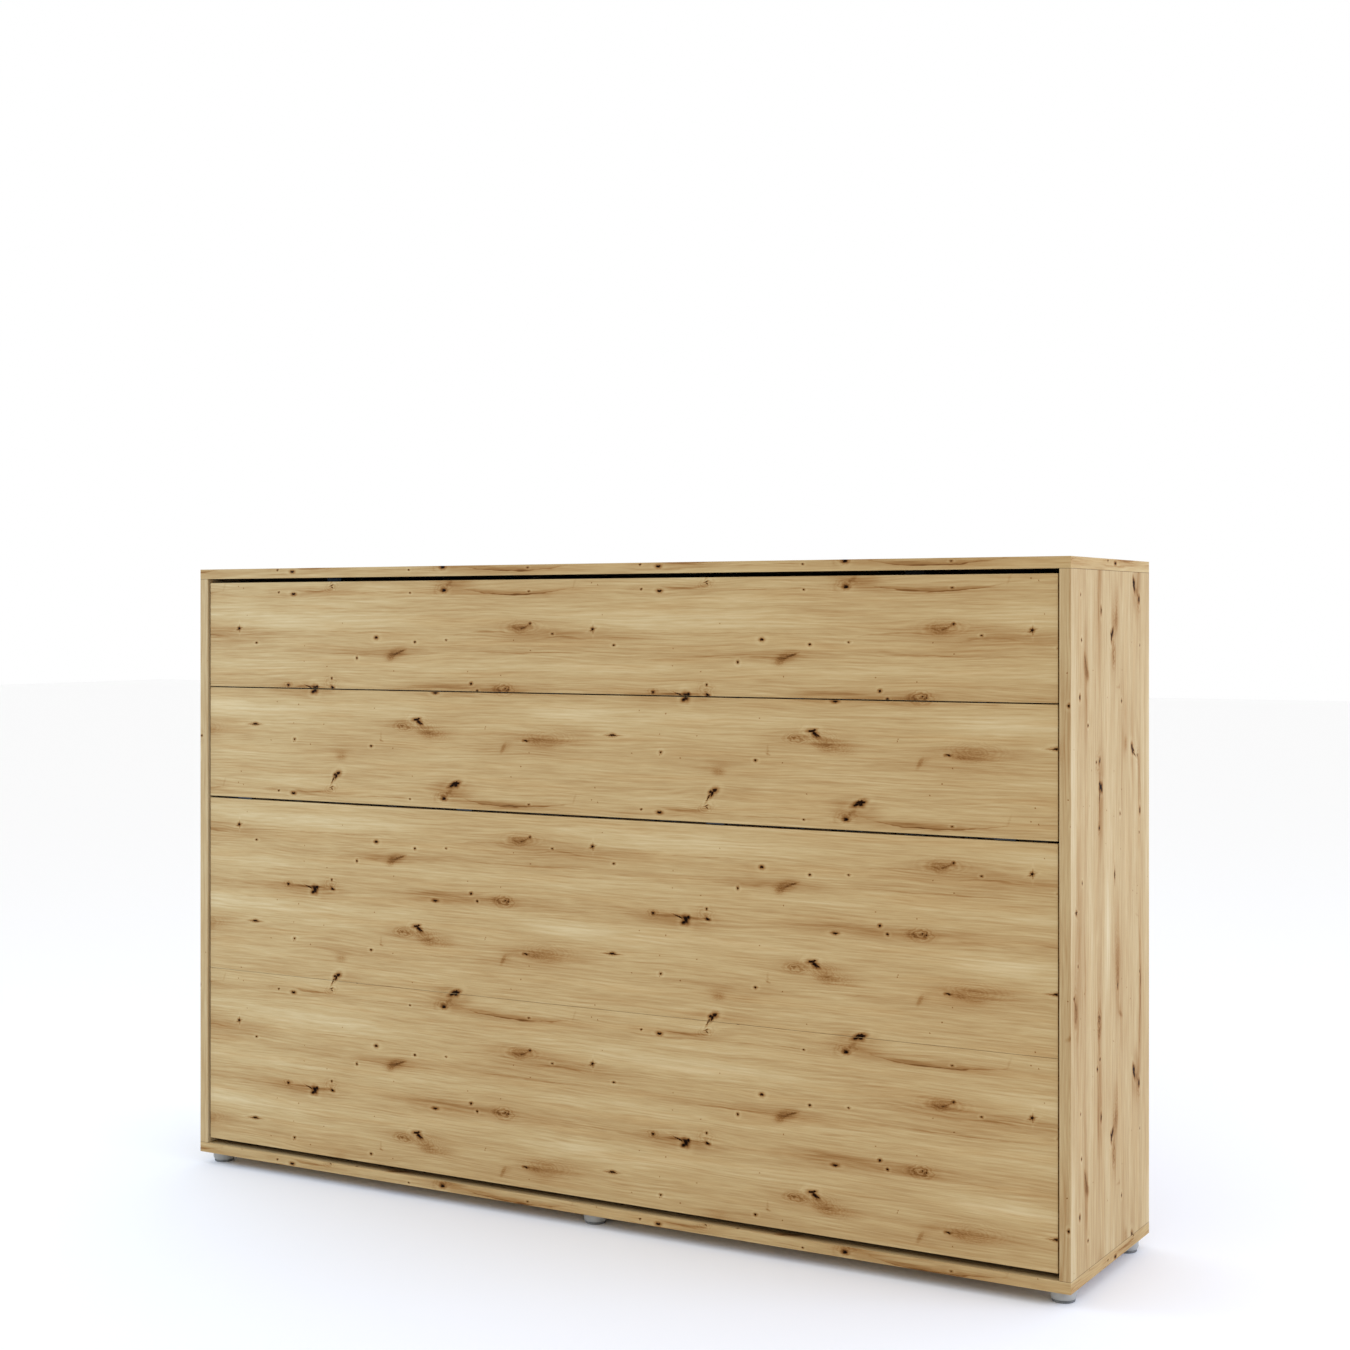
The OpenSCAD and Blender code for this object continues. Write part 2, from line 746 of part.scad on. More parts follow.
// A strap round the mattress, from the upper rail's anchor to the lower rail's
module strap(x) {
    in_y = mattress_y1 + rest_gap;
    low_z = mattress_z0 - rest_gap - strap_t;
    high_z = mattress_z1 + rest_gap;
    reach_y = frame_y1 + anchor_t + 3;
    color("dimgray") translate([x - strap_w / 2, 0, 0]) {
        translate([0, in_y, low_z]) cube([strap_w, strap_t, high_z + strap_t - low_z]);
        translate([0, reach_y, low_z]) cube([strap_w, in_y + strap_t - reach_y, strap_t]);
        translate([0, reach_y, high_z]) cube([strap_w, in_y + strap_t - reach_y, strap_t]);
    }
}

module strap_left() { strap(-strap_x); }
module strap_right() { strap(strap_x); }

// Angle plates on the long rails that the straps' ends are riveted to
module strap_anchors() {
    anchor_w = strap_w + 10;
    flange_l = 22;
    low_z = mattress_z0 - 2 * rest_gap - strap_t - anchor_t;
    high_z = mattress_z1 + 2 * rest_gap + strap_t;
    color("silver") for (x = [-strap_x, strap_x]) {
        translate([x - anchor_w / 2, frame_y1, low_z]) cube([anchor_w, flange_l, anchor_t]);
        translate([x - anchor_w / 2, frame_y1, low_z - 8]) cube([anchor_w, anchor_t, 8 + anchor_t]);
        translate([x - anchor_w / 2, frame_y1, high_z]) cube([anchor_w, flange_l, anchor_t]);
        translate([x - anchor_w / 2, frame_y1, high_z]) cube([anchor_w, anchor_t, frame_z1 - 2 - high_z]);
    }
}

// Hooked plates on the lower rail, which the mattress's lower edge stands in
module mattress_stops() {
    lip_y = mattress_y1 + rest_gap + 1.5;
    ledge_z = mattress_z0 - rest_gap - stop_t;
    color("silver") for (k = [-5, -1, 1, 5])
        yz_plate(k * slat_pitch - stop_w / 2, stop_w)
            polygon([
                [frame_y1, ledge_z], [lip_y + stop_t, ledge_z], [lip_y + stop_t, ledge_z + stop_lip],
                [lip_y, ledge_z + stop_lip], [lip_y, ledge_z + stop_t],
                [frame_y1 + stop_t, ledge_z + stop_t], [frame_y1 + stop_t, frame_z0 + tube_w],
                [frame_y1, frame_z0 + tube_w]
            ]);
}

// Lugs on the frame's upright tubes that carry the leg's hinge pins
module leg_hinge_lugs() {
    flange_w = tube_w - 4;
    flange_y = frame_y0 - lug_flange_t;
    color("silver") for (x = [-end_tube_x, 0, end_tube_x]) {
        translate([x - flange_w / 2, flange_y, leg_axis_z - lug_flange_h / 2])
            cube([flange_w, lug_flange_t, lug_flange_h]);
        difference() {
            yz_plate(x - lug_t / 2, lug_t) {
                translate([leg_axis_y, leg_axis_z]) circle(lug_r);
                translate([leg_axis_y, leg_axis_z - lug_r])
                    square([flange_y - leg_axis_y, 2 * lug_r]);
            }
            x_bar(leg_pin_d + 2 * turn_fit, x - lug_t, x + lug_t, leg_axis_y, leg_axis_z);
        }
    }
}

// ---- Leg ----

// The space that a hinge block fills in the leg board, from its back and upper edge
module hinge_pocket(x) {
    w = 2 * cheek_w + lug_t + 2 * lug_side_gap;
    translate([x - w / 2, leg_axis_y - lug_pocket, leg_axis_z - block_down])
        cube([w, board_back_y - leg_axis_y + lug_pocket + cut, block_down + leg_axis_drop + cut]);
}

// Glides' places along the leg board, as shares of its half width
glide_places = [-0.9, -0.3, 0.3, 0.9];
glide_w = 40;
glide_inset = 1.5;

module leg_board() {
    color("burlywood") difference() {
        front_board(leg_z, leg_board_h);
        for (x = [-end_tube_x, 0, end_tube_x]) hinge_pocket(x);
    }
}

// U-shaped blocks let into the leg board: two cheeks joined below the lug
module leg_hinge_blocks() {
    slot_w = lug_t + 2 * lug_side_gap;
    w = 2 * cheek_w + slot_w;
    depth = board_back_y - leg_axis_y + lug_pocket;
    top_r = board_edge_r;
    color("silver") for (x = [-end_tube_x, 0, end_tube_x])
        difference() {
            translate([x - w / 2, leg_axis_y - lug_pocket, leg_axis_z - block_down])
                cube([w, depth, block_down + leg_axis_drop - top_r]);
            translate([x - slot_w / 2, leg_axis_y - lug_pocket - cut, leg_axis_z - block_down + block_bridge])
                cube([slot_w, depth + 2 * cut, block_down + leg_axis_drop]);
            x_bar(leg_pin_d, x - leg_pin_l / 2, x + leg_pin_l / 2, leg_axis_y, leg_axis_z);
        }
}

module leg_hinge_pins() {
    color("gray") for (x = [-end_tube_x, 0, end_tube_x])
        x_bar(leg_pin_d, x - leg_pin_l / 2, x + leg_pin_l / 2, leg_axis_y, leg_axis_z);
}

module leg_glides() {
    color("dimgray") for (share = glide_places)
        translate([share * front_w / 2 - glide_w / 2, face_y + glide_inset, leg_z - glide_t])
            cube([glide_w, front_t - 2 * glide_inset, glide_t]);
}

// ---- Gas springs ----

// Puts a spring end, drawn hanging from the origin, at a stud in the closed spring's tilt
module at_spring(y, z) {
    translate([spring_x, y, z]) rotate([spring_tilt, 0, 0]) children();
}

// An eye round a stud, with a neck down to z = -reach
module spring_eye(reach, neck_d) {
    difference() {
        union() {
            translate([-eye_t / 2, 0, 0]) rotate([0, 90, 0]) cylinder(h = eye_t, r = eye_r);
            translate([0, 0, -reach]) cylinder(h = reach, d = neck_d);
        }
        translate([-eye_r, 0, 0]) rotate([0, 90, 0]) cylinder(h = 2 * eye_r, d = stud_d + 2 * turn_fit);
    }
}

// The cylinder is a tube, closed at its eye and with a guide for the rod at its open end
module spring_cylinder() {
    crown_z = eye_r + 3;
    bore_r = spring_d / 2 - cylinder_wall;
    guide_r = rod_d / 2 + turn_fit;
    spring_eye(crown_z, eye_t);
    rotate_extrude() polygon([
        [0, -crown_z], [spring_d / 2, -crown_z], [spring_d / 2, -cylinder_l],
        [guide_r, -cylinder_l], [guide_r, guide_l - cylinder_l],
        [bore_r, guide_l - cylinder_l], [bore_r, -cylinder_bore_start], [0, -cylinder_bore_start]
    ]);
}

// The rod stands on its own eye and ends in the piston
module spring_rod() {
    piston_r = spring_d / 2 - cylinder_wall - turn_fit;
    mirror([0, 0, 1]) spring_eye(rod_l, rod_d);
    translate([0, 0, rod_l - piston_l]) cylinder(h = piston_l, r = piston_r);
}

module spring_cylinder_right() {
    color("dimgray") at_spring(spring_top_y, spring_top_z) spring_cylinder();
}

module spring_cylinder_left() {
    color("dimgray") mirror([1, 0, 0]) at_spring(spring_top_y, spring_top_z) spring_cylinder();
}

module spring_rod_right() {
    color("silver") at_spring(pivot_y, spring_low_z) spring_rod();
}

module spring_rod_left() {
    color("silver") mirror([1, 0, 0]) at_spring(pivot_y, spring_low_z) spring_rod();
}

side_left();
side_right();
top_board();
base_board();
back_rail_upper();
back_rail_lower();
back_panel_left();
back_panel_right();
back_panel_strip();
foot_front_left();
foot_front_middle();
foot_front_right();
foot_back_left();
foot_back_middle();
foot_back_right();
foot_pads();
foot_studs();
cam_locks();
cam_bolts();
pivot_plate_left();
pivot_plate_right();
pivot_pins();
cabinet_spring_studs();
plate_screws();
bumper_brackets();
bumpers();
wall_washers();
front_board_lower();
front_board_middle();
front_board_upper();
frame_rail_lower();
frame_rail_upper();
frame_end_left();
frame_end_right();
frame_centre_beam();
tube_caps();
front_spacers();
front_screws();
arm_left();
arm_right();
arm_bolts();
pivot_bushes();
bed_spring_studs();
slats();
slat_holders();
mattress();
strap_left();
strap_right();
strap_anchors();
mattress_stops();
leg_hinge_lugs();
leg_board();
leg_hinge_blocks();
leg_hinge_pins();
leg_glides();
spring_cylinder_left();
spring_cylinder_right();
spring_rod_left();
spring_rod_right();
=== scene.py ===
# %% [markdown]
# # A fold-down wall bed in knotty oak
#
# The object is a low cabinet that stands against a wall. Its whole front is the underside of a
# bed, which turns down about a pivot near the floor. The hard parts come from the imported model
# and stay exactly as they are. This file gives them their finishes, and makes the soft parts:
# a quilted foam mattress and the two straps that hold it on its frame.

# %% Load the fixed frame
import json
import math
from functools import reduce

import bpy
import numpy as np
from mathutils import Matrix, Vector


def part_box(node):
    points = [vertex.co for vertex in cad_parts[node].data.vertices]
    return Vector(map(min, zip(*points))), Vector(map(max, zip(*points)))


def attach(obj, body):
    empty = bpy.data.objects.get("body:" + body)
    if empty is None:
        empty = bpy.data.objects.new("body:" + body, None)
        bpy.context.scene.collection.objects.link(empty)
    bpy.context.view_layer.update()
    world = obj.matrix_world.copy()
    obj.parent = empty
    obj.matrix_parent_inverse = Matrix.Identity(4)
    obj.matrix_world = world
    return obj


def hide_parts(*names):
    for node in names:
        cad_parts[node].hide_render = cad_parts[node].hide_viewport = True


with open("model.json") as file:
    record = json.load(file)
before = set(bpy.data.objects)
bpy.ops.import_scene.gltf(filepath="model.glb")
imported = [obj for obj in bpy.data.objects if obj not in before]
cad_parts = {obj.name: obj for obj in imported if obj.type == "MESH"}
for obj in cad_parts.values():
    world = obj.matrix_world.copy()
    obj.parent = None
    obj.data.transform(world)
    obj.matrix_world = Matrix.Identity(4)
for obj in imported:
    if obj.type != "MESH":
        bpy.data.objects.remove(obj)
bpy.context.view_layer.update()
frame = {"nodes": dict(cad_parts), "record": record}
nodes = frame["nodes"]
scene = bpy.context.scene

# %% [markdown]
# ## The view
#
# Furniture is drawn with upright lines upright, so the camera stays level and the lens is
# shifted instead of tilted. It stands to the right of the cabinet, a little below its top.

# %% Camera
TURN = math.radians(30.15)
camera = bpy.data.objects.new("camera", bpy.data.cameras.new("camera"))
camera.location = (2.387, -3.962, 1.259)
camera.rotation_euler = (math.radians(90), 0, TURN)
camera.data.lens = 56.91
camera.data.sensor_width = 36.0
camera.data.shift_y = -0.0404
scene.collection.objects.link(camera)
scene.camera = camera
print("camera turned", round(math.degrees(TURN), 2), "degrees from square")

# %% [markdown]
# ## Floor and light
#
# A pale sweep and a white room are the plainest studio. The room itself is the fill light.
# A small cool lamp close on the left makes the front fall off gently towards the right, and a
# wide one on the right makes the side of the cabinet the brightest face, as daylight from a
# window does. The Standard view shows a finish as it was mixed.


# %% A grid mesh helper
def mesh_piece(name, points, faces, material=None, smooth=True):
    """A mesh object from an array of points and a list of faces, each a list of point numbers."""
    mesh = bpy.data.meshes.new(name)
    mesh.from_pydata(np.reshape(points, (-1, 3)).tolist(), [], faces)
    mesh.polygons.foreach_set("use_smooth", np.full(len(mesh.polygons), smooth))
    mesh.update()
    if material:
        mesh.materials.append(material)
    made = bpy.data.objects.new(name, mesh)
    scene.collection.objects.link(made)
    return made


# %% Floor and lamps
def area_lamp(name, place, target, size, power, tint=(1, 1, 1)):
    """A square soft lamp at place that faces target."""
    lamp = bpy.data.lights.new(name, "AREA")
    lamp.size = size
    lamp.energy = power
    lamp.color = tint
    made = bpy.data.objects.new(name, lamp)
    made.location = place
    made.rotation_euler = (Vector(target) - Vector(place)).to_track_quat("-Z", "Y").to_euler()
    scene.collection.objects.link(made)


FLOOR_HALF = 30.0
floor_corners = [(-1, -1, 0), (1, -1, 0), (1, 1, 0), (-1, 1, 0)]
floor = mesh_piece("floor", np.array(floor_corners) * FLOOR_HALF, [(0, 1, 2, 3)], smooth=False)
area_lamp("key lamp", (-2.6, -1.7, 1.5), (-0.9, 0.0, 0.7), 0.9, 32, tint=(0.35, 0.6, 1.0))
area_lamp("side lamp", (5.0, 0.5, 2.2), (0.0, 0.0, 0.7), 3.0, 114, tint=(0.5, 0.63, 1.0))
scene.view_settings.view_transform = "Standard"

# %% [markdown]
# ## Writing a finish
#
# A shader is a sum on a surface: where am I, which grain line is this, how dark is it. Sums
# read best as expressions, so an output socket is wrapped in a small class whose operators add
# Math nodes. Everything else goes through one method that makes a node of any type.


# %% Shader sums
class Wire:
    """An output socket on a bench. Its operators add Math nodes and give a new Wire."""

    def __init__(self, bench, socket):
        self.bench = bench
        self.socket = socket

    def maths(self, operation, *others):
        """A Math node with this wire first."""
        inputs = dict(enumerate((self, *others)))
        return self.bench.node("ShaderNodeMath", {"operation": operation}, inputs)

    def reflected(self, operation, other):
        """A Math node with this wire second."""
        return self.bench.node("ShaderNodeMath", {"operation": operation}, {0: other, 1: self})

    def __add__(self, other):
        return self.maths("ADD", other)

    def __sub__(self, other):
        return self.maths("SUBTRACT", other)

    def __rsub__(self, other):
        return self.reflected("SUBTRACT", other)

    def __mul__(self, other):
        return self.maths("MULTIPLY", other)

    def __abs__(self):
        return self.maths("ABSOLUTE")

    __radd__ = __add__
    __rmul__ = __mul__

    def smaller(self, other):
        """The smaller of two numbers."""
        return self.maths("MINIMUM", other)

    def step(self, low, high, start=0.0, end=1.0):
        """A smooth step from start at low to end at high."""
        values = {"Value": self, "From Min": low, "From Max": high, "To Min": start, "To Max": end}
        return self.bench.node("ShaderNodeMapRange", {"interpolation_type": "SMOOTHSTEP"}, values)


class Bench:
    """Makes and joins the nodes of one node tree."""

    def __init__(self, tree):
        self.tree = tree

    def node(self, kind, settings=None, inputs=None, out=0):
        """Adds a node, sets it up, fills or links its sockets, and gives one of its outputs."""
        made = self.tree.nodes.new(kind)
        for key, value in (settings or {}).items():
            if key == "stops":
                self.set_stops(made.color_ramp, value)
            else:
                setattr(made, key, value)
        for key, value in (inputs or {}).items():
            if isinstance(value, Wire):
                self.tree.links.new(value.socket, made.inputs[key])
            else:
                made.inputs[key].default_value = value
        return Wire(self, made.outputs[out])

    @staticmethod
    def set_stops(ramp, stops):
        """Gives a colour ramp its (place, colour) stops."""
        while len(ramp.elements) < len(stops):
            ramp.elements.new(0.5)
        for element, (place, colour) in zip(ramp.elements, stops):
            element.position = place
            element.color = (*colour, 1.0)

    def join(self, x, y, z=0.0):
        """A vector from three numbers or wires."""
        return self.node("ShaderNodeCombineXYZ", None, {0: x, 1: y, 2: z})

    def split(self, vector):
        """The three parts of a vector."""
        first = self.node("ShaderNodeSeparateXYZ", None, {0: vector})
        return [Wire(self, s) for s in first.socket.node.outputs]

    def vector(self, operation, first, second, out="Vector"):
        """A Vector Math node on two vectors."""
        settings = {"operation": operation}
        return self.node("ShaderNodeVectorMath", settings, {0: first, 1: second}, out)

    def measure(self, operation, first, second=(0, 0, 0)):
        """A Vector Math node that gives a number: LENGTH, DISTANCE or DOT_PRODUCT."""
        return self.vector(operation, first, second, out="Value")

    def noise(self, vector, detail=2.0, roughness=0.5):
        """Smooth noise of one unit cell, as a number from -1 to 1."""
        inputs = {"Vector": vector, "Scale": 1.0, "Detail": detail, "Roughness": roughness}
        grey = self.node("ShaderNodeTexNoise", {"noise_dimensions": "3D"}, inputs)
        return grey * 2.0 - 1.0

    def mix(self, factor, first, second, mode="MIX"):
        """Two colours mixed. A plain colour is a tuple of three."""
        inputs = {0: factor}
        for key, colour in ((6, first), (7, second)):
            inputs[key] = colour if isinstance(colour, Wire) else (*colour, 1.0)
        settings = {"data_type": "RGBA", "blend_type": mode}
        return self.node("ShaderNodeMix", settings, inputs, out=2)


def shade(red, green, blue):
    """A colour given as three screen values of 0 to 255, in the linear scale of a shader."""
    values = np.array([red, green, blue]) / 255
    linear = np.where(values < 0.04045, values / 12.92, ((values + 0.055) / 1.055) ** 2.4)
    return tuple(float(v) for v in linear)


# %% Finishes
MM = 1000.0  # object coordinates are metres, and finishes are written in millimetres


class Finish(Bench):
    """A material with one Principled shader, whose constants go straight on its sockets."""

    def __init__(self, name, **constants):
        self.material = bpy.data.materials.new(name)
        self.material.use_nodes = True
        super().__init__(self.material.node_tree)
        self.shader = next(n for n in self.tree.nodes if n.type == "BSDF_PRINCIPLED")
        for key, value in constants.items():
            self.shader.inputs[key.replace("_", " ")].default_value = value

    def place(self):
        """The point on the piece in millimetres, as a vector."""
        spot = self.node("ShaderNodeTexCoord", out="Object")
        return self.vector("MULTIPLY", spot, (MM, MM, MM))

    def facing(self):
        """How squarely the surface faces along x, y and z, each from 0 to 1."""
        return [abs(part) for part in self.split(self.node("ShaderNodeTexCoord", out="Normal"))]

    def mottle(self, place, scale, detail=2.0):
        """Noise at a place in millimetres, from -1 to 1. scale is its cells per millimetre."""
        scale = scale if isinstance(scale, tuple) else (scale,) * 3
        return self.noise(self.vector("MULTIPLY", place, scale), detail)

    def feed(self, socket, wire):
        """Links a wire to one of the shader's sockets."""
        self.tree.links.new(wire.socket, self.shader.inputs[socket])

    def relief(self, height, depth):
        """Bumps the surface: height is 0 to 1 and depth is its size in millimetres."""
        inputs = {"Height": height, "Distance": depth / MM, "Strength": 1.0}
        self.feed("Normal", self.node("ShaderNodeBump", None, inputs))


def scaled(colour, times, plus=0.0):
    """A colour made lighter or darker."""
    return tuple(times * part + plus for part in colour)


def dress(material, *names):
    """Gives the CAD nodes of these names a material."""
    for name in names:
        mesh = nodes[name].data
        mesh.materials.clear()
        mesh.materials.append(material)


# %% Room and floor
white_room = bpy.data.worlds.new("white room")
scene.world = white_room
white_room.use_nodes = True
room = white_room.node_tree.nodes["Background"]
room.inputs["Color"].default_value = (1.0, 1.0, 1.0, 1.0)
room.inputs["Strength"].default_value = 1.0

sweep = Finish("pale_floor", Roughness=0.9, Specular_IOR_Level=0.1)
grit = sweep.noise(sweep.place())
sweep.feed("Base Color", sweep.mix(grit.step(-1, 1), shade(249, 249, 249), shade(252, 252, 252)))
floor.data.materials.append(sweep.material)

# %% [markdown]
# ## The printed oak
#
# The boards are chipboard under a printed oak paper. A print repeats, and this one does so
# every 960 mm along the grain and 450 mm across, straight over the joints between the boards.
# So the decor is one node group that takes a place on the sheet, in millimetres, and wraps it
# into that tile. Inside the tile a knot is an ellipse: scaled and shifted, it becomes a unit
# circle, and the length of the result says how far out a point lies. Broad tones are the same
# ellipses, long and soft, and bent ones make veins. One number, the tone, adds all of it up,
# and a single colour ramp turns it into wood. Each sum is closed before the next one starts,
# because a shader can hold only a few hundred open numbers at once.

# %% The tile and its knots
TILE_U = 960.0
TILE_W = 450.0
EDGE_U = (TILE_U - 30.0, -30.0)  # where the tile is cut, clear of every knot
EDGE_W = (TILE_W - 300.0, -300.0)

# Hard black knots: along, across, half length, half height, turn in degrees. Along and across
# are places in the tile, and every size here and below is in millimetres.
BLACK_KNOTS = [
    (602, 112, 10, 3.2, 28), (609, 118, 11, 3.4, 12), (616, 117, 9, 3.0, 25),
    (611, 113, 7, 4.0, -20), (290, 128, 7.5, 5.0, 15), (284, 121, 9, 3.2, 62),
    (275, 113, 10, 1.9, 55), (280, 124, 5, 4, 30), (223, -136, 6, 8.5, 12), (218, -142, 6, 4.5, 20),
    (229, -131, 3.5, 4.5, 0), (206, -131, 12, 1.2, -12), (505, -198, 9, 3.2, 8),
    (513, -203, 9, 4.4, -35), (520, -206, 5, 2.2, -40), (512, -196, 6, 2.4, 20),
    (0, 0, 4.2, 3.6, 0), (0, -1, 7, 1.3, 12), (1, 0, 1.2, 6.5, 8), (161, 78, 6.5, 3.0, -4),
    (580, 83, 6.5, 4.4, -8), (396, -20, 5.2, 3.8, 0), (48, -218, 8, 3.2, -3),
    (48, -219, 16, 1.3, 0), (557, -139, 7, 2.8, -8), (273, -131, 6, 3.2, -18),
    (146, -128, 3.4, 3.2, 0), (342, -65, 3.0, 3.4, 0), (502, -29, 3.6, 2.6, 0),
    (586, -24, 3.2, 1.8, 0), (652, -117, 3.8, 3.0, 20), (668, -133, 3.0, 2.6, 0),
    (382, -259, 3.8, 2.8, 0), (164, -250, 3.8, 3.0, 20), (793, -236, 6, 1.8, 0),
    (860, -10, 3.0, 2.2, 0), (52, -33, 3.6, 2.2, 0), (801, 80, 3.0, 1.8, 0), (489, 78, 2.8, 1.8, 0),
    (804, 12, 3.0, 2.4, 0), (270, 96, 4.5, 1.2, 15), (271, -111, 2.6, 3.2, 0),
    (118, 82, 2.2, 1.8, 0), (272, 92, 3.2, 1.0, -30),
]
# Round specks of one size: along, across
SPECKS = [
    (6, 122), (192, -74), (257, -85), (113, -166), (176, -171), (193, -39), (301, 12), (95, -254),
    (210, -260), (161, -213), (391, -175), (442, -262), (690, -209), (802, -261), (643, -92),
    (729, -99), (781, -291), (756, 137), (805, -45), (762, -24), (13, 92), (-2, 96), (688, -213),
    (495, 129), (24, 30), (161, -256), (248, -214), (444, -93), (749, -129), (741, -126),
]
# Brown burls: along, across, half length, half height, turn, strength
BURLS = [
    (774, 1, 26, 10, 8, 30), (785, 6, 42, 15, 4, 14), (803, 11, 10, 6, 0, 22),
    (790, 4, 12, 2.2, 20, 34), (448, -55, 32, 14, 20, 26), (437, -62, 15, 10, 30, 24),
    (461, -51, 20, 2.4, 24, 46), (735, -129, 40, 15, 0, 22), (722, -130, 14, 7, -20, 20),
    (745, -128, 9, 9, 20, 24), (474, -212, 30, 12, -4, 20), (466, -213, 12, 5, 0, 14),
    (530, -222, 30, 16, -20, 24), (566, -229, 56, 14, -6, 20), (268, -122, 22, 19, 0, 15),
    (145, -128, 15, 11, 0, 22), (735, -254, 14, 5, 55, 26), (742, -248, 18, 10, 20, 12),
    (298, -286, 18, 9, 0, 24), (838, -238, 44, 15, -6, 18), (812, -236, 20, 8, 0, 14),
    (300, -275, 34, 16, 0, 8), (292, -275, 26, 6, 0, 7), (410, -246, 7, 2.5, -25, 30),
    (409, -238, 3, 12, 8, 14), (577, 88, 30, 12, 12, 16), (596, 100, 14, 5, 40, 18),
    (268, 92, 20, 11, 20, 16), (793, -236, 14, 5, 0, 20), (162, 78, 16, 7, 0, 16),
    (100, 84, 24, 5, 0, 12), (117, 82, 6, 4, 0, 16), (0, 0, 14, 8, 0, 12), (396, -19, 12, 8, 0, 10),
    (48, -219, 26, 6, 0, 12), (557, -139, 16, 6, 0, 16), (652, -117, 12, 6, 20, 16),
    (915, 96, 3, 14, -12, 12), (225, -136, 16, 12, 0, 14), (612, 116, 20, 9, 15, 14),
    (286, 122, 16, 12, 50, 14), (513, -202, 20, 10, -20, 16),
]
# Burls with rings: along, across, half length, half height, turn, rings, strength
SWIRLS = [
    (737, -129, 30, 15, 0, 2.6, 12), (470, -213, 27, 12, 0, 2.4, 11),
    (530, -214, 60, 24, -20, 5.5, 5), (145, -128, 18, 13, 0, 2.0, 6),
    (268, -122, 22, 18, 0, 2.2, 7), (577, 88, 34, 16, 20, 3.0, 5), (270, 92, 26, 14, 20, 3.0, 6),
    (785, 4, 60, 18, 0, 3.5, 5), (850, -228, 70, 24, 0, 6.0, 4),
]
# Long tones: along, across, half length, half height, strength (light is above zero)
TONES = [
    (230, 18, 330, 26, 19), (300, 58, 260, 14, 10), (180, 104, 150, 14, 10), (900, 36, 190, 16, 8),
    (60, -82, 230, 20, 11), (600, -80, 300, 16, 8), (870, -176, 130, 26, 14),
    (60, -180, 190, 24, 15), (380, -178, 240, 18, 10), (200, -210, 220, 18, 8),
    (60, -286, 170, 14, 8), (540, -284, 150, 12, 6), (440, 140, 250, 12, 5), (800, 104, 220, 12, 5),
    (390, 88, 130, 8, 8), (640, -160, 220, 8, 6), (600, 104, 60, 26, -24), (610, 84, 150, 12, -8),
    (760, 76, 200, 11, -17), (430, -52, 130, 14, -16), (300, -50, 240, 9, -7),
    (810, -2, 150, 24, -14), (880, -22, 210, 22, -9), (200, -136, 130, 18, -22),
    (40, -130, 130, 16, -6), (580, -130, 180, 18, -20), (760, -130, 150, 16, -14),
    (500, -214, 110, 22, -14), (840, -234, 110, 18, -17), (860, -224, 160, 20, -6),
    (330, -264, 190, 14, -10), (760, -258, 200, 16, -9), (240, 82, 130, 12, -9),
    (310, 128, 90, 16, -9), (700, -44, 260, 10, -8), (30, -12, 120, 18, -8),
]
# Veins: along, across, half length, half thickness, bow, strength
VEINS = [
    (765, 73, 152, 1.6, 15, 34), (770, 76, 160, 4.5, 14, 14), (560, -124, 82, 5, -5, 12),
    (320, -7, 330, 1.2, -3, 12), (700, -6, 110, 1.6, -10, 14), (215, 83, 60, 3.2, 6, 22),
    (210, -130, 66, 3.0, -3, 26), (880, -16, 70, 2.4, -8, 14), (380, -56, 220, 1.3, 4, 12),
    (800, -50, 200, 2.2, 2, 16), (440, 80, 130, 1.4, -4, 14), (150, 72, 150, 1.2, 5, 9),
    (560, -258, 90, 1.0, 8, 10), (70, -134, 90, 2.0, 6, 9), (880, -140, 80, 1.6, 8, 9),
]
# Places where the grain flows round a knot: along, across, half length, half height, push
BULGES = [
    (611, 112, 70, 24, 9), (281, 110, 80, 26, 10), (245, -128, 90, 24, 10), (500, -210, 80, 22, 9),
    (0, 0, 40, 14, 6), (735, -129, 90, 22, 9), (778, 2, 90, 20, 8), (452, -54, 70, 16, 6),
    (396, -20, 40, 14, 6), (560, -139, 60, 12, 5), (793, -236, 90, 16, 6), (162, 78, 60, 12, 4),
]
TONE_DEPTH = 0.8
LOW_TONE = 120.0
TONE_SPAN = 150.0
OAK_STOPS = [
    ((tone + LOW_TONE) / TONE_SPAN, shade(*colour))
    for tone, colour in (
        (-120, (13, 4, 1)), (-75, (62, 35, 13)), (-42, (129, 88, 46)), (-22, (159, 122, 76)),
        (-8, (175, 144, 98)), (6, (188, 161, 114)), (28, (206, 185, 142)),
    )
]
print(len(BLACK_KNOTS), "knot strokes,", len(BURLS), "burls,", len(TONES), "tones")


# %% Ellipses on the sheet
TURN_STEP = 20  # knots are turned in steps of this many degrees
RING_GAP = 8.0  # millimetres from one year ring to the next
HALF_TILE = (TILE_U / 2, TILE_W / 2, 1.0)


def turned_views(bench, place):
    """The place seen in axes turned by each step, so that an ellipse needs no turning of its own."""
    views = {0: place}
    for turn in range(-60, 80, TURN_STEP):
        if turn:
            cosine = math.cos(math.radians(turn))
            sine = math.sin(math.radians(turn))
            along = bench.measure("DOT_PRODUCT", place, (cosine, sine, 0))
            across = bench.measure("DOT_PRODUCT", place, (-sine, cosine, 0))
            views[turn] = bench.join(along, across)
    return views


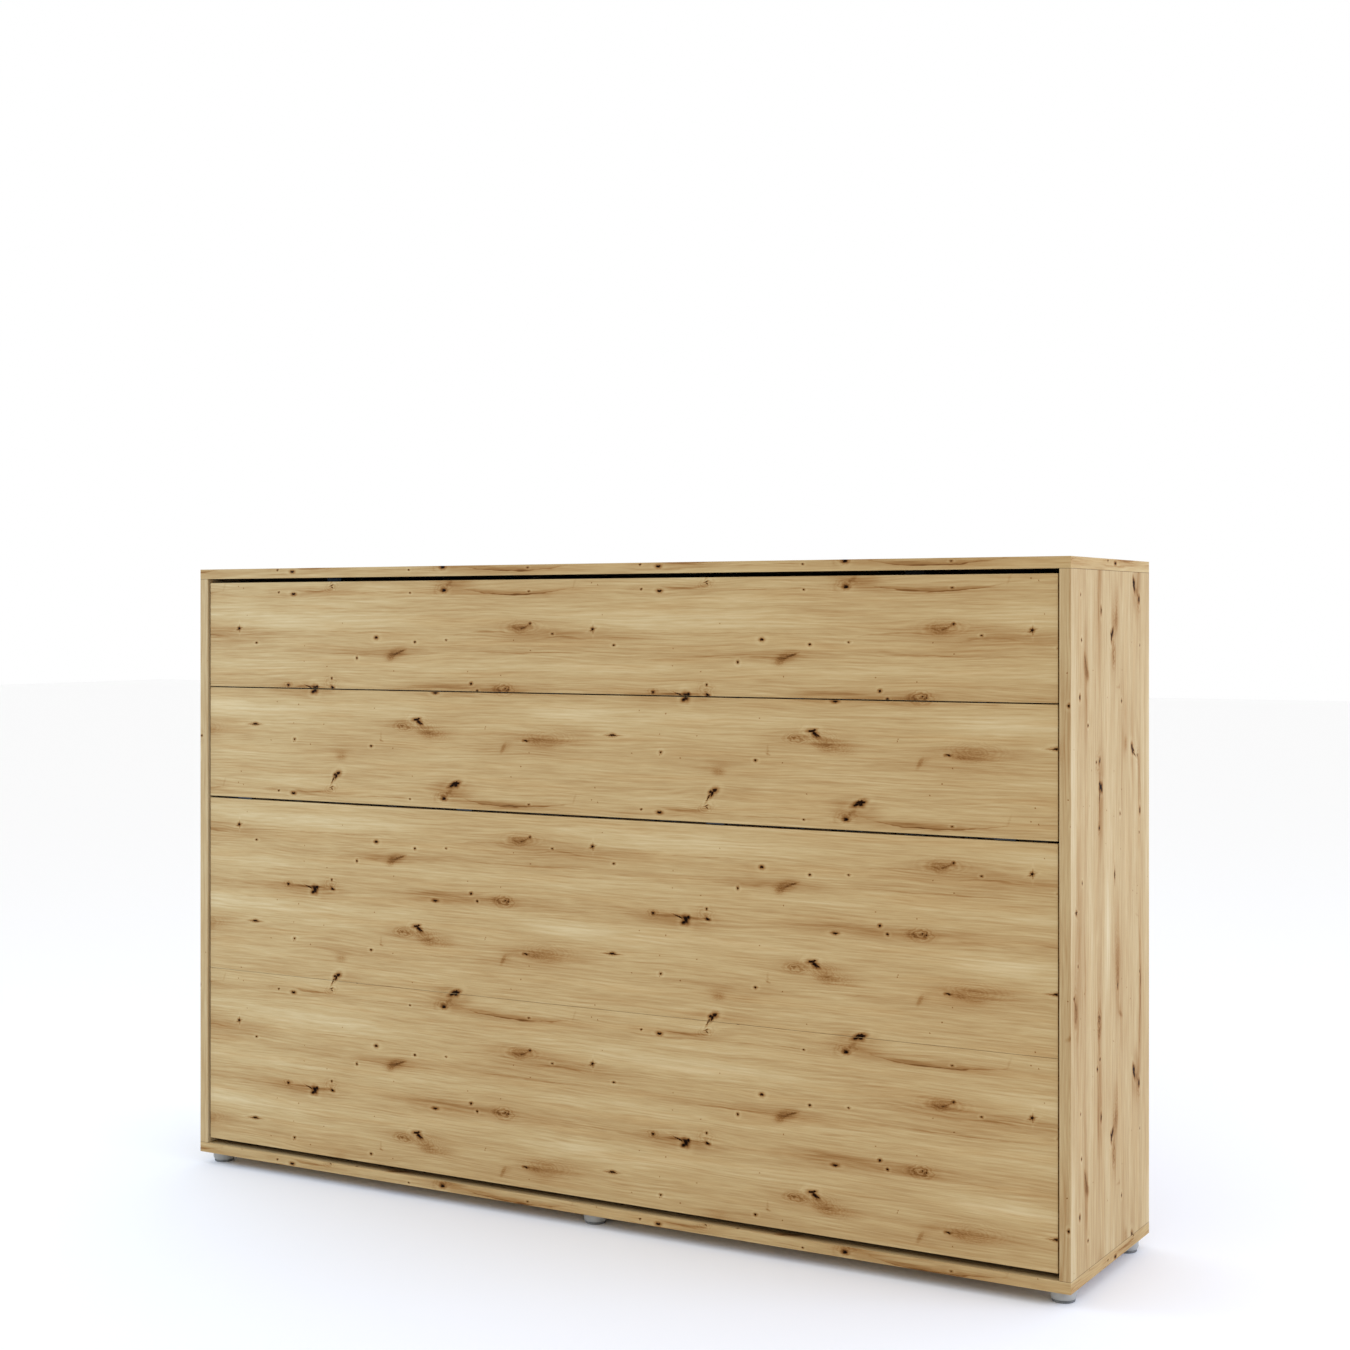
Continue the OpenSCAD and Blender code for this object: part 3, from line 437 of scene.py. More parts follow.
def circle_of(bench, views, u, w, half_u, half_w, turn=0):
    """The place brought to an ellipse's own frame, where its rim is at a length of 1."""
    angle = TURN_STEP * round(turn / TURN_STEP)
    cosine = math.cos(math.radians(angle))
    sine = math.sin(math.radians(angle))
    shift = (-(u * cosine + w * sine) / half_u, (u * sine - w * cosine) / half_w, 0)
    inputs = {0: views[angle], 1: (1 / half_u, 1 / half_w, 1), 2: shift}
    return bench.node("ShaderNodeVectorMath", {"operation": "MULTIPLY_ADD"}, inputs)


def reach(bench, views, *ellipse):
    """How far out of an ellipse the place is: 0 at its centre and 1 on its rim."""
    return bench.measure("LENGTH", circle_of(bench, views, *ellipse))


def long_circle(bench, place, u, w, half_u, half_w):
    """As circle_of, for an ellipse so long that it runs over the edge of the tile."""
    offset = bench.vector("SUBTRACT", place, (u, w, 0))
    inputs = {0: offset, 1: HALF_TILE, 2: tuple(-half for half in HALF_TILE)}
    wrapped = bench.node("ShaderNodeVectorMath", {"operation": "WRAP"}, inputs)
    return bench.vector("MULTIPLY", wrapped, (1 / half_u, 1 / half_w, 0))


def bent(bench, place, u, w, half_u, half_w, bow):
    """Distance from a vein: an ellipse whose middle line is a parabola, bow mm up at its ends."""
    along, across, _ = bench.split(long_circle(bench, place, u, w, half_u, half_w))
    square = along * along
    across = across - square * (bow / half_w)
    return (square + across * across).maths("SQRT")


# %% Warps of the sheet
def warped(bench, place, size, push, detail=2.0):
    """The place pushed about by noise: size is its cells' width along and across, push its force."""
    cells = bench.vector("MULTIPLY", place, (1 / size[0], 1 / size[1], 0))
    inputs = {"Vector": cells, "Scale": 1.0, "Detail": detail, "Roughness": 0.6}
    noise = bench.node("ShaderNodeTexNoise", {"noise_dimensions": "3D"}, inputs, out="Color")
    shift = bench.vector("SUBTRACT", noise, (0.5, 0.5, 0.5))
    return bench.vector("ADD", place, bench.vector("MULTIPLY", shift, (*push, 0)))


def streak(bench, along, line, length, width, layer, detail=2.0):
    """Noise drawn out along the grain: length and width are the size of one streak in mm."""
    return bench.noise(bench.join(along * (1 / length), line * (1 / width), layer), detail)


# %% The decor sheet
def decor_sheet():
    """The node group of the printed paper: Along and Across in millimetres in, Colour out."""
    sheet = bpy.data.node_groups.new("knotty_oak_paper", "ShaderNodeTree")
    for name in ("Along", "Across"):
        sheet.interface.new_socket(name=name, in_out="INPUT", socket_type="NodeSocketFloat")
    sheet.interface.new_socket(name="Colour", in_out="OUTPUT", socket_type="NodeSocketColor")
    bench = Bench(sheet)
    along = bench.node("NodeGroupInput", out="Along")
    across = bench.node("NodeGroupInput", out="Across")
    tile = bench.join(along.maths("WRAP", *EDGE_U), across.maths("WRAP", *EDGE_W))

    views = turned_views(bench, warped(bench, tile, (4.5, 4.5), (6.0, 5.0), 3.0))
    black = reduce(Wire.smaller, (reach(bench, views, *knot) for knot in BLACK_KNOTS))
    points = (bench.measure("DISTANCE", views[0], (*speck, 0)) for speck in SPECKS)
    speck = reduce(Wire.smaller, points)
    grit = bench.noise(bench.vector("MULTIPLY", tile, (0.25, 0.5, 0)), detail=2.0)
    core = black.step(0.25, 0.95, 1.0, 0.0) * grit.step(-0.35, 0.1, 52.0, 90.0)
    rim = black.step(1.5, 2.2) * black.step(2.2, 3.8, 6.0, 0.0)
    tone = rim - core - black.step(0.5, 1.9, 28.0, 0.0) - speck.step(0.0, 2.2, 52.0, 0.0)
    burl = 0.0
    for u, w, half_u, half_w, turn, strength in BURLS:
        burl = reach(bench, views, u, w, half_u, half_w, turn).step(0.1, 1.35, strength, 0.0) + burl
    tone = tone - burl * grit.step(-0.5, 0.5, 0.5, 0.95)
    loose = turned_views(bench, warped(bench, tile, (24, 11), (34, 15)))
    for u, w, half_u, half_w, turn, rings, strength in SWIRLS:
        size = reach(bench, loose, u, w, half_u, half_w, turn)
        wave = (size * (math.tau * rings)).maths("SINE") * size.step(0.3, 1.4, strength, 0.0)
        tone = tone - wave

    streaked = warped(bench, bench.join(along, across), (55, 7), (46, 9))
    for u, w, half_u, half_w, bow, strength in VEINS:
        size = bent(bench, streaked, u, w, half_u, half_w, bow)
        tone = tone - size.step(0.15, 1.2, strength, 0.0)
    for u, w, half_u, half_w, strength in TONES:
        size = bench.measure("LENGTH", long_circle(bench, streaked, u, w, half_u, half_w))
        tone = tone + size.step(0.2, 1.3, TONE_DEPTH * strength, 0.0)

    line = across
    for u, w, half_u, half_w, lift in BULGES:
        spot = long_circle(bench, tile, u, w, half_u, half_w)
        line = line - bench.split(spot)[1] * bench.measure("LENGTH", spot).step(0.0, 1.6, lift, 0.0)
    line = line + streak(bench, along, across, 300, 60, 0.0, 1.0) * 7.0
    rings = line * (math.tau / RING_GAP) + streak(bench, along, line, 420, 34, 9.0) * 16.0
    ring = rings.maths("SINE") * streak(bench, along, line, 160, 20, 4.0).step(-0.5, 0.5, 0.5, 5.5)
    fibre = streak(bench, along, line, 48, 1.6, 0.0, 3.0) * 17.0
    grain = streak(bench, along, line, 150, 6.5, 7.0, 3.0) * 18.0
    broad = streak(bench, along, line, 400, 26, 3.0, 1.0) * 6.0
    pinkish = streak(bench, along, line, 300, 22, 11.0, 1.0)
    tone = tone + ring + fibre + grain + broad

    place_on_ramp = (tone + LOW_TONE) * (1 / TONE_SPAN)
    colour = bench.node("ShaderNodeValToRGB", {"stops": OAK_STOPS}, {"Fac": place_on_ramp})
    blush = bench.mix(pinkish.step(-0.1, 0.6, 0.0, 0.5), (1, 1, 1), (1.0, 0.93, 0.86))
    colour = bench.mix(1.0, colour, blush, "MULTIPLY")
    output = sheet.nodes.new("NodeGroupOutput")
    sheet.links.new(colour.socket, output.inputs["Colour"])
    return sheet


oak_paper = decor_sheet()
print("oak paper:", len(oak_paper.nodes), "nodes")


# %% [markdown]
# A board is cut from the sheet in one direction. On a long board the grain runs along x, and on
# a side it runs up. The surface normal says which face a point is on, and so which two
# coordinates are its place on the paper. The paper of each front continues the next one's.

# %% Oak finishes
PAINTED_SIDE_LIGHT = (1.0, 1.03, 1.12)  # painted light: the upright boards get a paler, bluer tint that stands in for the cool light on the side
JOINTS = (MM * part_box("side_left")[0].z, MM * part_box("side_left")[1].z)
# Where the tile's own zero falls on the boards
ZERO_X, ZERO_Y, ZERO_Z = 19.0, -140.0, 721.0


def oak_finish(name, upright, rise):
    """Oak whose grain runs along x, or up if upright. rise shifts the sheet across the grain.

    An upright board gets a thin line of painted shade at its ends, in the joints where it meets the
    top and the base.
    """
    finish = Finish(name, Roughness=0.48, Specular_IOR_Level=0.02)
    x, y, z = finish.split(finish.place())
    face_x, face_y, face_z = finish.facing()
    if upright:
        on_edge = face_y.maths("GREATER_THAN", 0.7)
        along = z - ZERO_Z
        across = (rise - y) * (1 - on_edge) + (x + 40.0) * on_edge
    else:
        on_end = face_x.maths("GREATER_THAN", 0.7)
        on_top = face_z.maths("GREATER_THAN", 0.7)
        along = (x - ZERO_X) * (1 - on_end) + (y - ZERO_Y) * on_end
        across = (z + rise) * (1 - on_top) + (y + 160.0) * on_top
    paper = finish.tree.nodes.new("ShaderNodeGroup")
    paper.node_tree = oak_paper
    finish.tree.links.new(along.socket, paper.inputs["Along"])
    finish.tree.links.new(across.socket, paper.inputs["Across"])
    colour = Wire(finish, paper.outputs["Colour"])
    if upright:
        lower_joint, upper_joint = (abs(z - height) for height in JOINTS)
        # painted shade: a dark line in the joints with the top and the base boards
        joint_shade = lower_joint.smaller(upper_joint).step(0.4, 1.3, 0.75, 0.0)
        # painted light: a paler, bluer tint on the upright boards, for the cool light on the side of
        # the cabinet
        colour = finish.vector("MULTIPLY", colour, PAINTED_SIDE_LIGHT)
        colour = finish.mix(joint_shade, colour, shade(58, 34, 16))
    finish.feed("Base Color", colour)
    pores = finish.noise(finish.join(along * (1 / 14), across * (1 / 0.9)), detail=1.0)
    finish.relief(pores.step(-0.2, 0.5), 0.06)
    wear = finish.noise(finish.join(along * (1 / 60), across * (1 / 4.0), 5.0), detail=1.0)
    finish.feed("Roughness", wear.step(-1.0, 1.0, 0.42, 0.54))
    return finish.material


oak_front = oak_finish("oak_front", False, -341.0)
oak_top = oak_finish("oak_top", False, -1291.0)
oak_base = oak_finish("oak_base", False, 45.0)
oak_side = oak_finish("oak_side", True, 249.0)
print("oak finishes:", [m.name for m in bpy.data.materials if m.name.startswith("oak")])

# %% [markdown]
# ## Metals, plastics and the plain woods
#
# Nothing on a bed is one flat colour. Zinc plate has a soft mottle and fine scratches, powder
# coat has the skin of an orange, moulded plastic has a spark-eroded grain, and turned steel
# has the rings that the tool left. Each of these is a noise at its own size, fed to the colour
# by a few hundredths, to the roughness, and to a bump a few hundredths of a millimetre deep.


# %% Hard finishes
def plastic(name, colour, grain=0.5, depth=0.03, roughness=(0.4, 0.55)):
    """Moulded plastic: a fine spark-eroded grain and a faint cloud in the colour."""
    finish = Finish(name, Specular_IOR_Level=0.4)
    place = finish.place()
    cloud = finish.mottle(place, 0.06)
    pits = finish.mottle(place, 1 / grain, 1.0)
    finish.feed("Base Color", finish.mix(cloud.step(-0.5, 0.5), scaled(colour, 0.88), colour))
    finish.feed("Roughness", cloud.step(-0.5, 0.5, *roughness))
    finish.relief(pits.step(-0.4, 0.4), depth)
    return finish.material


def powder_coat(name, colour):
    """Sprayed powder coat: orange-peel skin of about 2 mm cells, with lighter worn patches."""
    finish = Finish(name, Specular_IOR_Level=0.5, Coat_Roughness=0.3)
    place = finish.place()
    peel = finish.mottle(place, 0.5, 1.0)
    cloud = finish.mottle(place, 0.02)
    worn = scaled(colour, 1.35, 0.004)
    finish.feed("Base Color", finish.mix(cloud.step(-0.6, 0.6), colour, worn))
    finish.feed("Roughness", peel.step(-0.5, 0.5, 0.36, 0.5))
    finish.relief(peel.step(-0.5, 0.5), 0.05)
    return finish.material


def zinc_plate(name, depth=1.0):
    """Zinc-plated steel: a bluish mottle of 6 mm, a warm passivate tint and fine scratches.

    A depth below 1 darkens it, as black passivate does.
    """
    finish = Finish(name, Metallic=1.0)
    place = finish.place()
    cloud = finish.mottle(place, 0.16, 3.0)
    tint = finish.mottle(place, 0.04, 1.0)
    scratch = finish.mottle(place, (2.2, 2.2, 0.09), 1.0)
    tones = ((0.50, 0.52, 0.55), (0.66, 0.67, 0.69), (0.66, 0.62, 0.48))
    dull, bright, warm = (scaled(colour, depth) for colour in tones)
    plate = finish.mix(cloud.step(-0.5, 0.5), dull, bright)
    plate = finish.mix(tint.step(0.0, 0.7, 0.0, 0.35), plate, warm)
    finish.feed("Base Color", plate)
    finish.feed("Roughness", cloud.step(-0.6, 0.6, 0.28, 0.46))
    finish.relief(scratch.step(0.1, 0.6), 0.015)
    return finish.material


def turned_steel(name, colour, roughness, axis):
    """Steel turned on a lathe: rings across its axis, 0.25 mm apart, with a little oil haze."""
    finish = Finish(name, Metallic=1.0)
    along = finish.split(finish.place())[axis]
    ring = (along * (math.tau / 0.25)).maths("SINE")
    haze = finish.mottle(finish.place(), 0.1)
    finish.feed("Base Color", finish.mix(haze.step(-0.5, 0.5), scaled(colour, 0.8), colour))
    finish.feed("Roughness", haze.step(-0.5, 0.5, roughness, 1.5 * roughness))
    finish.relief(ring * 0.5 + 0.5, 0.004)
    return finish.material


def rubber(name, dark, dusty):
    """Moulded rubber: matt, with a bloom of grey dust in its grain."""
    finish = Finish(name, Specular_IOR_Level=0.25)
    place = finish.place()
    grain = finish.mottle(place, 1.6)
    bloom = finish.mottle(place, 0.15)
    finish.feed("Base Color", finish.mix(bloom.step(-0.3, 0.5), dark, dusty))
    finish.feed("Roughness", grain.step(-0.5, 0.5, 0.72, 0.9))
    finish.relief(grain.step(-0.5, 0.5), 0.08)
    return finish.material


def beech_slat(name):
    """Bent beech plywood: pink-brown flecks on the faces, and five plies on the long edges."""
    finish = Finish(name, Specular_IOR_Level=0.35)
    x, y, z = finish.split(finish.place())
    edge = finish.facing()[0].maths("GREATER_THAN", 0.8)
    fleck = streak(finish, z, x, 5.0, 0.7, 0.0, 1.0).step(0.15, 0.45)
    band = streak(finish, z, x, 160.0, 14.0, 5.0)
    pale = finish.mix(band.step(-0.5, 0.5), shade(205, 165, 118), shade(222, 186, 142))
    face = finish.mix(fleck * 0.45, pale, shade(168, 118, 78))
    ply = (y * (math.tau / 3.2)).maths("SINE").step(-0.3, 0.3)
    side = finish.mix(ply, shade(186, 142, 98), shade(214, 178, 134))
    finish.feed("Base Color", finish.mix(edge, face, side))
    finish.feed("Roughness", band.step(-0.5, 0.5, 0.42, 0.55))
    finish.relief(fleck, 0.03)
    return finish.material


def hardboard(name):
    """A thin back panel: pale printed film inside, and raw brown fibres outside."""
    finish = Finish(name, Specular_IOR_Level=0.2)
    x, y, z = finish.split(finish.place())
    outward = finish.split(finish.node("ShaderNodeTexCoord", out="Normal"))[1]
    outside = outward.maths("GREATER_THAN", 0.5)
    felt = finish.noise(finish.join(x * (1 / 3.0), z * (1 / 3.0), y), detail=4.0, roughness=0.7)
    cloud = finish.noise(finish.join(x * (1 / 90), z * (1 / 60), 3.0))
    film = streak(finish, z, x, 90.0, 2.5, 8.0)
    inner = finish.mix(film.step(-0.5, 0.5), shade(214, 198, 168), shade(226, 213, 186))
    outer = finish.mix(felt.step(-0.4, 0.4), shade(126, 92, 60), shade(158, 122, 84))
    outer = finish.mix(cloud.step(-0.5, 0.5, 0.0, 0.4), outer, shade(140, 108, 74))
    finish.feed("Base Color", finish.mix(outside, inner, outer))
    finish.feed("Roughness", felt.step(-0.4, 0.4, 0.55, 0.8))
    finish.relief(felt.step(-0.4, 0.4), 0.12)
    return finish.material


finishes = {
    "back_board": hardboard("raw_hardboard"),
    "grey_plastic": plastic("foot_plastic", shade(166, 165, 160)),
    "dark_plastic": plastic("dark_plastic", shade(38, 38, 40)),
    "dark_rubber": rubber("dark_rubber", shade(30, 30, 31), shade(52, 52, 53)),
    "zinc_steel": zinc_plate("zinc_plate"),
    "turned_steel": turned_steel("turned_steel", (0.45, 0.45, 0.46), 0.2, 0),
    "frame_paint": powder_coat("frame_powder_coat", shade(46, 44, 43)),
    "bush_plastic": plastic("bush_nylon", shade(222, 218, 204), grain=0.3),
    "slat_wood": beech_slat("bent_beech"),
    "spring_paint": powder_coat("spring_paint", shade(26, 26, 28)),
    "rod_chrome": turned_steel("rod_chrome", (0.72, 0.72, 0.73), 0.06, 2),
    "oak_long": oak_front,
    "oak_upright": oak_side,
}
for part in frame["record"]["subparts"]:
    if part["material_slot"] in finishes:
        dress(finishes[part["material_slot"]], part["node"])
dress(rubber("grey_rubber_pads", shade(104, 104, 102), shade(126, 126, 123)), "foot_pads")
black_zinc = zinc_plate("black_zinc_plate", 0.02)
dress(black_zinc, "bumper_brackets", "leg_hinge_lugs", "leg_hinge_blocks", "front_spacers")
dress(oak_top, "top_board", "back_rail_upper")
dress(oak_base, "base_board", "back_rail_lower")
print("finishes:", len(finishes))

# %% [markdown]
# ## Broken edges
#
# No sawn or moulded edge is perfectly sharp, and the thin highlight along it tells the eye how
# thick a board is. A Bevel modifier breaks every edge that turns more than 30 degrees. The
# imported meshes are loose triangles, so a Weld comes first to join them.


# %% Bevels
def break_edges(width, *names):
    """Welds a node's loose triangles and rounds its sharp edges by width millimetres."""
    for name in names:
        weld = nodes[name].modifiers.new("join triangles", "WELD")
        weld.merge_threshold = 1e-5
        bevel = nodes[name].modifiers.new("broken edge", "BEVEL")
        bevel.width = width / MM
        bevel.segments = 2
        bevel.limit_method = "ANGLE"
        bevel.angle_limit = math.radians(30)
        bevel.harden_normals = True


boards = [part["node"] for part in frame["record"]["subparts"] if "oak" in part["material_slot"]]
break_edges(0.5, *boards)
break_edges(0.6, *[n for n in nodes if n.startswith(("foot_back", "foot_front"))])
plates = ("bumper_brackets", "pivot_plate_left", "pivot_plate_right")
break_edges(0.3, "slats", "mattress_stops", *plates)
print("boards with broken edges:", len(boards))

# %% [markdown]
# ## Surfaces on a grid
#
# Every new piece is a grid of points: rows along a path, columns round a profile. Two small
# helpers turn such a grid into quads, so that each piece only has to say where its points are.


# %% Grids
def grid_quads(rows, columns, close_rows=False, close_columns=True):
    """Quads over a rows x columns grid of points, numbered row by row."""
    row = np.arange(rows if close_rows else rows - 1)
    column = np.arange(columns if close_columns else columns - 1)
    first = (row[:, None] * columns + column[None, :]).ravel()
    right = (row[:, None] * columns + ((column + 1) % columns)[None, :]).ravel()
    above = (((row + 1) % rows)[:, None] * columns + column[None, :]).ravel()
    corner = (((row + 1) % rows)[:, None] * columns + ((column + 1) % columns)[None, :]).ravel()
    return np.stack([first, right, corner, above], axis=1)


def capped_tube(rows, columns):
    """The faces of an open tube of rows x columns points, with a flat face at each end."""
    start = list(range(columns))[::-1]
    end = [(rows - 1) * columns + k for k in range(columns)]
    return [*grid_quads(rows, columns).tolist(), start, end]


def rounded_outline(half_x, half_z, radius, spacing):
    """Points and outward normals of a rectangle with round corners, evenly spaced, closed.

    The length s runs round eight stretches: four straight runs and four quarter circles.
    """
    run_x, run_z, arc = 2 * (half_x - radius), 2 * (half_z - radius), math.pi / 2 * radius
    total = 2 * run_x + 2 * run_z + 4 * arc
    s = np.arange(round(total / spacing)) * (total / round(total / spacing))
    points = np.zeros((len(s), 2))
    normals = np.zeros((len(s), 2))
    start = 0.0
    corners = [(1, -1, 0.0, run_z), (1, 1, 90.0, run_x)]
    corners += [(-1, 1, 180.0, run_z), (-1, -1, 270.0, run_x)]
    for side_x, side_z, facing, run in corners:
        turn = math.radians(facing)
        out = np.array([math.cos(turn), math.sin(turn)])
        ahead = np.array([-out[1], out[0]])
        centre_1 = np.array([side_x * (half_x - radius), side_z * (half_z - radius)])
        centre_2 = centre_1 + ahead * run
        on_run = (s >= start) & (s < start + run)
        points[on_run] = centre_1 + out * radius + ahead * (s[on_run, None] - start)
        normals[on_run] = out
        on_arc = (s >= start + run) & (s < start + run + arc)
        angle = turn + (s[on_arc] - start - run) / radius
        round_out = np.stack([np.cos(angle), np.sin(angle)], axis=1)
        points[on_arc] = centre_2 + round_out * radius
        normals[on_arc] = round_out
        start += run + arc
    return points, normals


print("quads of a tube of 5 rings of 6 points:", len(grid_quads(5, 6)))

# %% [markdown]
# ## The mattress
#
# It is a slab of foam in a sewn cover. The two big panels are quilted to a thin wadding, in
# diamonds, and a plain band joins them all round. A quilted panel is cloth that swells wherever
# it isn't stitched down, which is what a Cloth simulation does: the stitch lines and the seams
# are pinned, the air pressure and a little spare cloth do the rest. The shell is drawn on an
# even grid first, so the stitches run along grid diagonals and no remesh is needed.

# %% The mattress shell
low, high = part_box("mattress")
QUILT_DROP = 0.009  # how far the stitches lie under the highest puffs
BAND_DROP = 0.004  # how far the band's seams lie inside the widest line
CORNER = 0.045
CELLS_X, CELLS_Z, CELLS_Y = 120, 72, 10
DIAMOND = 8  # grid cells from one stitch line to the next
STITCHES = 24  # stitches of quilting thread along one side of a diamond
middle = np.array((low + high) / 2)
half = np.array((high - low) / 2) - np.array([BAND_DROP, QUILT_DROP, BAND_DROP])


def bend_corners(x, z):
    """Moves a rectangle's grid points into one with round corners.

    In each corner square of side r, (a, b) goes to (a sqrt(1 - b2/2), b sqrt(1 - a2/2)), a disc.
    """
    a = np.clip((np.abs(x) - (half[0] - CORNER)) / CORNER, 0, 1)
    b = np.clip((np.abs(z) - (half[2] - CORNER)) / CORNER, 0, 1)
    in_x = CORNER * (a - a * np.sqrt(1 - b * b / 2))
    in_z = CORNER * (b - b * np.sqrt(1 - a * a / 2))
    return x - np.sign(x) * in_x, z - np.sign(z) * in_z


def panel_grid(y):
    """The points of one big panel, (CELLS_X + 1) x (CELLS_Z + 1), at the height y."""
    x, z = np.meshgrid(
        np.linspace(-half[0], half[0], CELLS_X + 1),
        np.linspace(-half[2], half[2], CELLS_Z + 1),
        indexing="ij",
    )
    x, z = bend_corners(x, z)
    return np.stack([x, np.full_like(x, y), z], axis=2).reshape(-1, 3)


def rim_numbers():
    """The numbers of a panel's edge points, once round."""
    number = np.arange((CELLS_X + 1) * (CELLS_Z + 1)).reshape(CELLS_X + 1, CELLS_Z + 1)
    return np.concatenate([number[:-1, 0], number[-1, :-1], number[:0:-1, -1], number[0, :0:-1]])


front = panel_grid(-half[1])
back = panel_grid(half[1])
rim = rim_numbers()
share = np.linspace(0, 1, CELLS_Y + 1)[1:-1, None, None]
band = (front[rim][None] * (1 - share) + back[rim][None] * share).reshape(-1, 3)
shell_points = np.concatenate([front, back, band]) + middle
print("mattress shell:", len(shell_points), "points")

# %% Its faces and stitches
panel_count = len(front)
panel_faces = grid_quads(CELLS_X + 1, CELLS_Z + 1, close_columns=False)
rows = [rim] + [2 * panel_count + len(rim) * k + np.arange(len(rim)) for k in range(CELLS_Y - 1)]
rows.append(rim + panel_count)
band_number = np.stack(rows)
band_faces = band_number.ravel()[grid_quads(CELLS_Y + 1, len(rim))][:, ::-1]
shell_faces = np.concatenate([panel_faces[:, ::-1], panel_faces + panel_count, band_faces])

column, row = np.meshgrid(np.arange(CELLS_X + 1), np.arange(CELLS_Z + 1), indexing="ij")
stitched = ((column + row) % DIAMOND == 0) | ((column - row) % DIAMOND == 0)
edge = (column == 0) | (column == CELLS_X) | (row == 0) | (row == CELLS_Z)
pins = np.zeros(len(shell_points))
pins[:panel_count] = (stitched | edge).ravel()
pins[panel_count : 2 * panel_count] = (stitched | edge).ravel()
zip_row = CELLS_Y // 2
pins[band_number[zip_row - 1 : zip_row + 2]] = 1.0  # the zip's tape holds the band flat
print("pinned points:", int(pins.sum()))

# %% [markdown]
# The cover's knit is a fine grid of loops, 1.6 mm apart, with a soft sheen and a little melange.
# The band is a spacer mesh: a honeycomb of small dark holes, which lets the foam breathe.


# %% Fabrics
def knit(name):
    """White jersey: loops of 1.6 mm as two crossed waves, a yarn mottle and quilting thread."""
    sheen = {"Sheen_Weight": 0.3, "Sheen_Roughness": 0.5}
    finish = Finish(name, Roughness=0.9, Specular_IOR_Level=0.2, **sheen)
    x, y, z = finish.split(finish.place())
    cell_x = x * (CELLS_X / (2 * MM * half[0]))
    cell_z = (z - MM * middle[2]) * (CELLS_Z / (2 * MM * half[2]))
    rising = (cell_x + cell_z) * (math.pi / DIAMOND)
    falling = (cell_x - cell_z) * (math.pi / DIAMOND)
    line_1, line_2 = abs(rising.maths("SINE")), abs(falling.maths("SINE"))
    thread_1 = line_1.step(0.03, 0.06, 1.0, 0.0) * (falling * STITCHES).maths("SINE").step(-0.3, 0.0)
    thread_2 = line_2.step(0.03, 0.06, 1.0, 0.0) * (rising * STITCHES).maths("SINE").step(-0.3, 0.0)
    thread = thread_1.maths("MAXIMUM", thread_2)
    # painted shade: a mask along the stitch lines, in the dips between the puffs
    stitch_valley_shade = line_1.smaller(line_2).step(0.0, 0.35, 1.0, 0.0)
    wale = (x * (math.tau / 1.6)).maths("SINE")
    course = (z * (math.tau / 1.3) + wale * 0.8).maths("SINE")
    loop = (abs(wale) * 0.5 + abs(course) * 0.5).step(0.1, 0.9)
    yarn = finish.mottle(finish.place(), 0.5, 3.0)
    white = finish.mix(yarn.step(-0.5, 0.5), shade(222, 221, 217), shade(238, 237, 234))
    white = finish.mix(loop * 0.5 + 0.5, shade(208, 206, 201), white)
    # painted shade: grey mixed into the cover along the stitched dips
    white = finish.mix(stitch_valley_shade * 0.3, white, shade(196, 194, 190))
    finish.feed("Base Color", finish.mix(thread * 0.8, white, shade(172, 172, 174)))
    finish.feed("Roughness", yarn.step(-0.5, 0.5, 0.82, 0.95))
    finish.relief(loop, 0.25)
    return finish.material


HOLES = 330  # holes of the band's spacer mesh in one metre


def spacer_mesh(name, thread, hole):
    """Spacer mesh: a honeycomb of round holes 3 mm apart, sunk into grey thread.

    The holes follow the cloth round the corners, so they read the band's own map in metres.
    """
    finish = Finish(name, Roughness=0.8, Specular_IOR_Level=0.3, Sheen_Weight=0.2)
    cells = finish.node("ShaderNodeUVMap", {"uv_map": "cloth"}, out="UV")
    cells = finish.vector("MULTIPLY", cells, (HOLES,) * 3)
    settings = {"voronoi_dimensions": "2D", "feature": "F1"}
    inputs = {"Vector": cells, "Scale": 1.0, "Randomness": 0.25}
    distance = finish.node("ShaderNodeTexVoronoi", settings, inputs, out="Distance")
    open_part = distance.step(0.2, 0.42, 1.0, 0.0)
    finish.feed("Base Color", finish.mix(open_part, thread, hole))
    finish.feed("Roughness", open_part.step(0.0, 1.0, 0.75, 0.95))
    finish.relief(open_part * -1 + 1.0, 0.5)
    return finish.material


def webbing_weave(name, colour):
    """Woven webbing: ribs of 1.5 mm across the strap, with a herringbone sheen."""
    finish = Finish(name, Roughness=0.7, Specular_IOR_Level=0.35, Sheen_Weight=0.25)
    x, y, z = finish.split(finish.place())
    run = z + y
    rib = (run * (math.tau / 1.5)).maths("SINE")
    twill = ((x + run * 0.5) * (math.tau / 3.0)).maths("SINE")
    thread = (rib * 0.35 + twill * 0.15 + 0.5).step(0.0, 1.0)
    finish.feed("Base Color", finish.mix(thread, colour, scaled(colour, 2.4, 0.01)))
    finish.feed("Roughness", thread.step(0.0, 1.0, 0.85, 0.6))
    finish.relief(thread, 0.2)
    return finish.material


cover_knit = knit("cover_knit")
band_mesh = spacer_mesh("band_mesh", shade(150, 152, 156), shade(70, 71, 75))
piping_cord = webbing_weave("piping_cord", shade(92, 94, 99))
strap_webbing = webbing_weave("strap_webbing", shade(34, 34, 37))
print("fabrics:", cover_knit.name, band_mesh.name, strap_webbing.name)

# %% Sew and swell the mattress
mattress = mesh_piece("mattress_cover", shell_points, shell_faces.tolist(), cover_knit)
mattress.data.materials.append(band_mesh)
on_band = np.arange(len(shell_faces)) >= 2 * len(panel_faces)
mattress.data.polygons.foreach_set("material_index", on_band.astype(np.int32))

